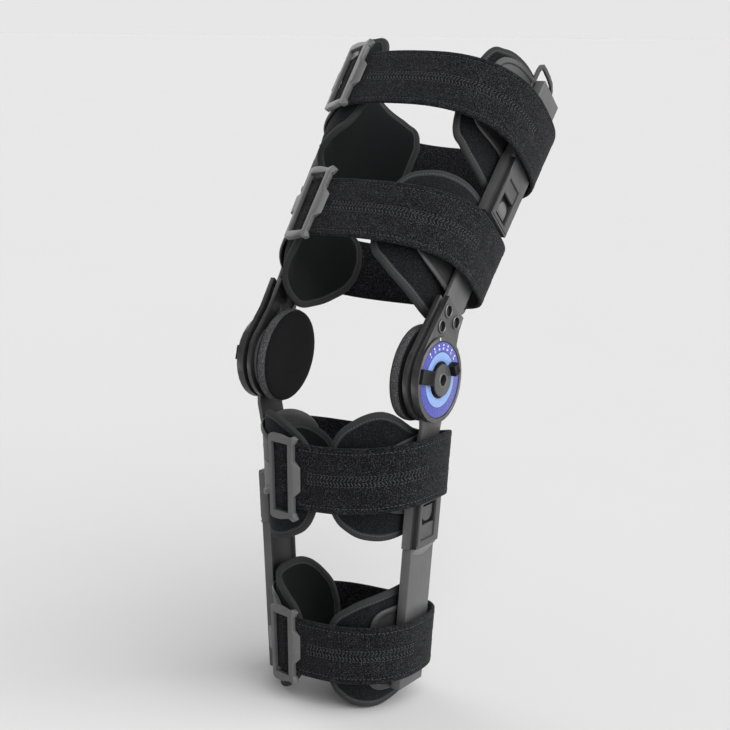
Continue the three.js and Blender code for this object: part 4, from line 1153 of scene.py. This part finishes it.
# Buckles: moulded rectangular frames that the strap passes through, with a thin post, a broad thumb post
# with a sloping tab, thickened rails, and a lug that hooks into the wing of the left side.
BUCKLE_ACROSS = (-25, -16, -13, -4.2, 4.5, 9.5, 14.5)
BUCKLE_POST = BUCKLE_ACROSS[1]
BUCKLE_THUMB = BUCKLE_ACROSS[4:6]
BUCKLE_SLACK = 1
BUCKLE_RAIL = (1, 8)
BUCKLE_LUG = {"half": 9, "top": 2.6, "bottom": -2.8}
BUCKLE_TAB = {"root": 15, "half": 10, "top": 1.9}
BUCKLE_HEAD = {"root": 10.5, "reach": 13, "notch": 2, "top": 3.4}
BUCKLE_CLEAR = 0.8
BUCKLE_THICKNESS = 3.9
BUCKLE_CREST = 0.7
BUCKLE_BEVEL = 0.75
BUCKLE_CUTS = 14

buckle_plastic = satin(
    "buckle_plastic", (0.08, 0.0805, 0.0815, 1), (0.1, 0.1005, 0.1015, 1), (0.2, 0.2, 0.203, 1), 0.42, 3200.0)
for name, level in LEVELS.items():
    inside, end = (level["strap"] / 2 + margin for margin in BUCKLE_RAIL)
    half_rows = (BUCKLE_LUG["half"], BUCKLE_TAB["root"], inside, end)
    along = [-row for row in half_rows[::-1]] + list(half_rows)
    # The cells that stay: the lug, the two posts, the rails at both ends, and the tab.
    kept = [(0, 3)] + [(column, row) for column in (1, 4) for row in range(7)]
    kept += [(column, row) for column in (2, 3, 5) for row in (0, 6)] + [(5, row) for row in (2, 3, 4)]
    buckle = cell_plate(f"{name}_frame_buckle", BUCKLE_ACROSS, along, kept, BUCKLE_THICKNESS)
    for vertex in buckle.data.vertices:
        x, y, z = vertex.co
        sign = 1 if y > 0 else -1
        on_top = z > BUCKLE_THICKNESS / 2
        at_end = abs(y) > end - BUCKLE_SLACK
        past_thumb = x > BUCKLE_THUMB[1] + BUCKLE_SLACK
        z += BUCKLE_CLEAR
        if x < BUCKLE_POST - BUCKLE_SLACK:
            z = BUCKLE_LUG["top"] if on_top else BUCKLE_LUG["bottom"]
        elif past_thumb and abs(y) < inside - BUCKLE_SLACK:
            y = min(abs(y), BUCKLE_TAB["half"]) * sign
            z = BUCKLE_TAB["top"] if on_top else z
        elif past_thumb:
            x = BUCKLE_HEAD["reach"] if at_end else BUCKLE_HEAD["root"]
            y = (end - BUCKLE_HEAD["notch"]) * sign if at_end else y
            z = BUCKLE_HEAD["top"] if on_top else z
        elif at_end and x in (BUCKLE_POST, BUCKLE_THUMB[0]):
            y -= BUCKLE_HEAD["notch"] * sign
        elif on_top and x > BUCKLE_THUMB[0] - BUCKLE_SLACK:
            z += BUCKLE_CREST
        vertex.co = (x, y, z)
    round_edges(buckle, BUCKLE_BEVEL, 3)
    bpy.ops.object.mode_set(mode="EDIT")
    for cut in np.linspace(BUCKLE_ACROSS[0], BUCKLE_ACROSS[-1], BUCKLE_CUTS + 2)[1:-1]:
        bpy.ops.mesh.select_all(action="SELECT")
        bpy.ops.mesh.bisect(plane_co=(cut, 0, 0), plane_no=(1, 0, 0))
    bpy.ops.object.mode_set(mode="OBJECT")
    flat = np.array([v.co for v in buckle.data.vertices], float)
    window = strap_length(level, level["buckle"])
    bent = on_strap(level, window + flat[:, 0], level["buckle_up"] + flat[:, 1], flat[:, 2])
    buckle.data.vertices.foreach_set("co", bent.astype(np.float32).ravel())
    face_outwards(buckle)
    bpy.ops.object.shade_smooth_by_angle(angle=SHARP)
    fit_out(buckle, level["limb"], "frame_plastic", buckle_plastic, f"{name}_buckle")


# Studio: a plain pale floor that runs to the horizon, a sky that is pale at the horizon and dim above it,
# one broad low key light from the dial's side, a weak one from behind on the other, and a long lens.
FLOOR_SIZE = 60.0
FLOOR_CLOUD = 3.0
FLOOR_ROUGHNESS = 0.9
SKY = (1.0, 0.996, 1.0, 1)
HORIZON = 0.8
DOME = 0.42
FRONT = 0.23
FRONT_TO_DOME = (-0.6, 0.2)
HORIZON_TO_OVERHEAD = (0.04, 0.25)
LIGHTS = {
    "key": {"energy": 4.0, "spread": 85, "from": (0.82, -0.1, 0.56)},
    "rim": {"energy": 0.9, "spread": 40, "from": (-0.8, 0.3, 0.5)},
}
CAMERA = {
    "azimuth": 33, "elevation": 12, "distance": 1.4, "lens": 83.2, "sensor": 36, "shift": (0.0238, 0.0034),
}

floor_paint, tree, shader = new_material("floor_paint")
tone = noise_of(tree, object_place(tree), FLOOR_CLOUD)
tone = mix_of(tree, tone, (0.656, 0.651, 0.651, 1), (0.67, 0.665, 0.665, 1))
tree.links.new(tone, shader.inputs["Base Color"])
shader.inputs["Roughness"].default_value = FLOOR_ROUGHNESS
shader.inputs["Specular IOR Level"].default_value = 0.0
bpy.ops.object.select_all(action="DESELECT")
bpy.ops.mesh.primitive_plane_add(size=FLOOR_SIZE, location=(0, 0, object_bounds()[0].z - MM))
floor = bpy.context.object
floor.name = "floor"
floor.data.materials.append(floor_paint)

world = bpy.data.worlds.new("studio")
world.use_nodes = True
tree = world.node_tree
heading = add_node(tree, "ShaderNodeTexCoord", {}).outputs["Generated"]
_, y, z = add_node(tree, "ShaderNodeSeparateXYZ", {0: heading}).outputs
overhead = band_of(tree, y, *FRONT_TO_DOME, FRONT, DOME)
glow = band_of(tree, z, *HORIZON_TO_OVERHEAD, HORIZON, overhead)
tree.nodes["Background"].inputs["Color"].default_value = SKY
tree.links.new(glow, tree.nodes["Background"].inputs["Strength"])
bpy.context.scene.world = world
for name, lamp in LIGHTS.items():
    data = bpy.data.lights.new(name, "SUN")
    data.energy = lamp["energy"]
    data.angle = math.radians(lamp["spread"])
    light = bpy.data.objects.new(name, data)
    light.rotation_euler = Vector(lamp["from"]).to_track_quat("Z", "Y").to_euler()
    bpy.context.scene.collection.objects.link(light)

azimuth, elevation = math.radians(CAMERA["azimuth"]), math.radians(CAMERA["elevation"])
back = Vector((
    math.sin(azimuth) * math.cos(elevation), -math.cos(azimuth) * math.cos(elevation), math.sin(elevation)))
data = bpy.data.cameras.new("camera")
data.lens = CAMERA["lens"]
data.sensor_width = CAMERA["sensor"]
data.shift_x, data.shift_y = CAMERA["shift"]
camera = bpy.data.objects.new("camera", data)
camera.location = back * CAMERA["distance"]
camera.rotation_euler = (-back).to_track_quat("-Z", "Y").to_euler()
bpy.context.scene.collection.objects.link(camera)
bpy.context.scene.camera = camera
bpy.context.scene.view_settings.view_transform = "Standard"
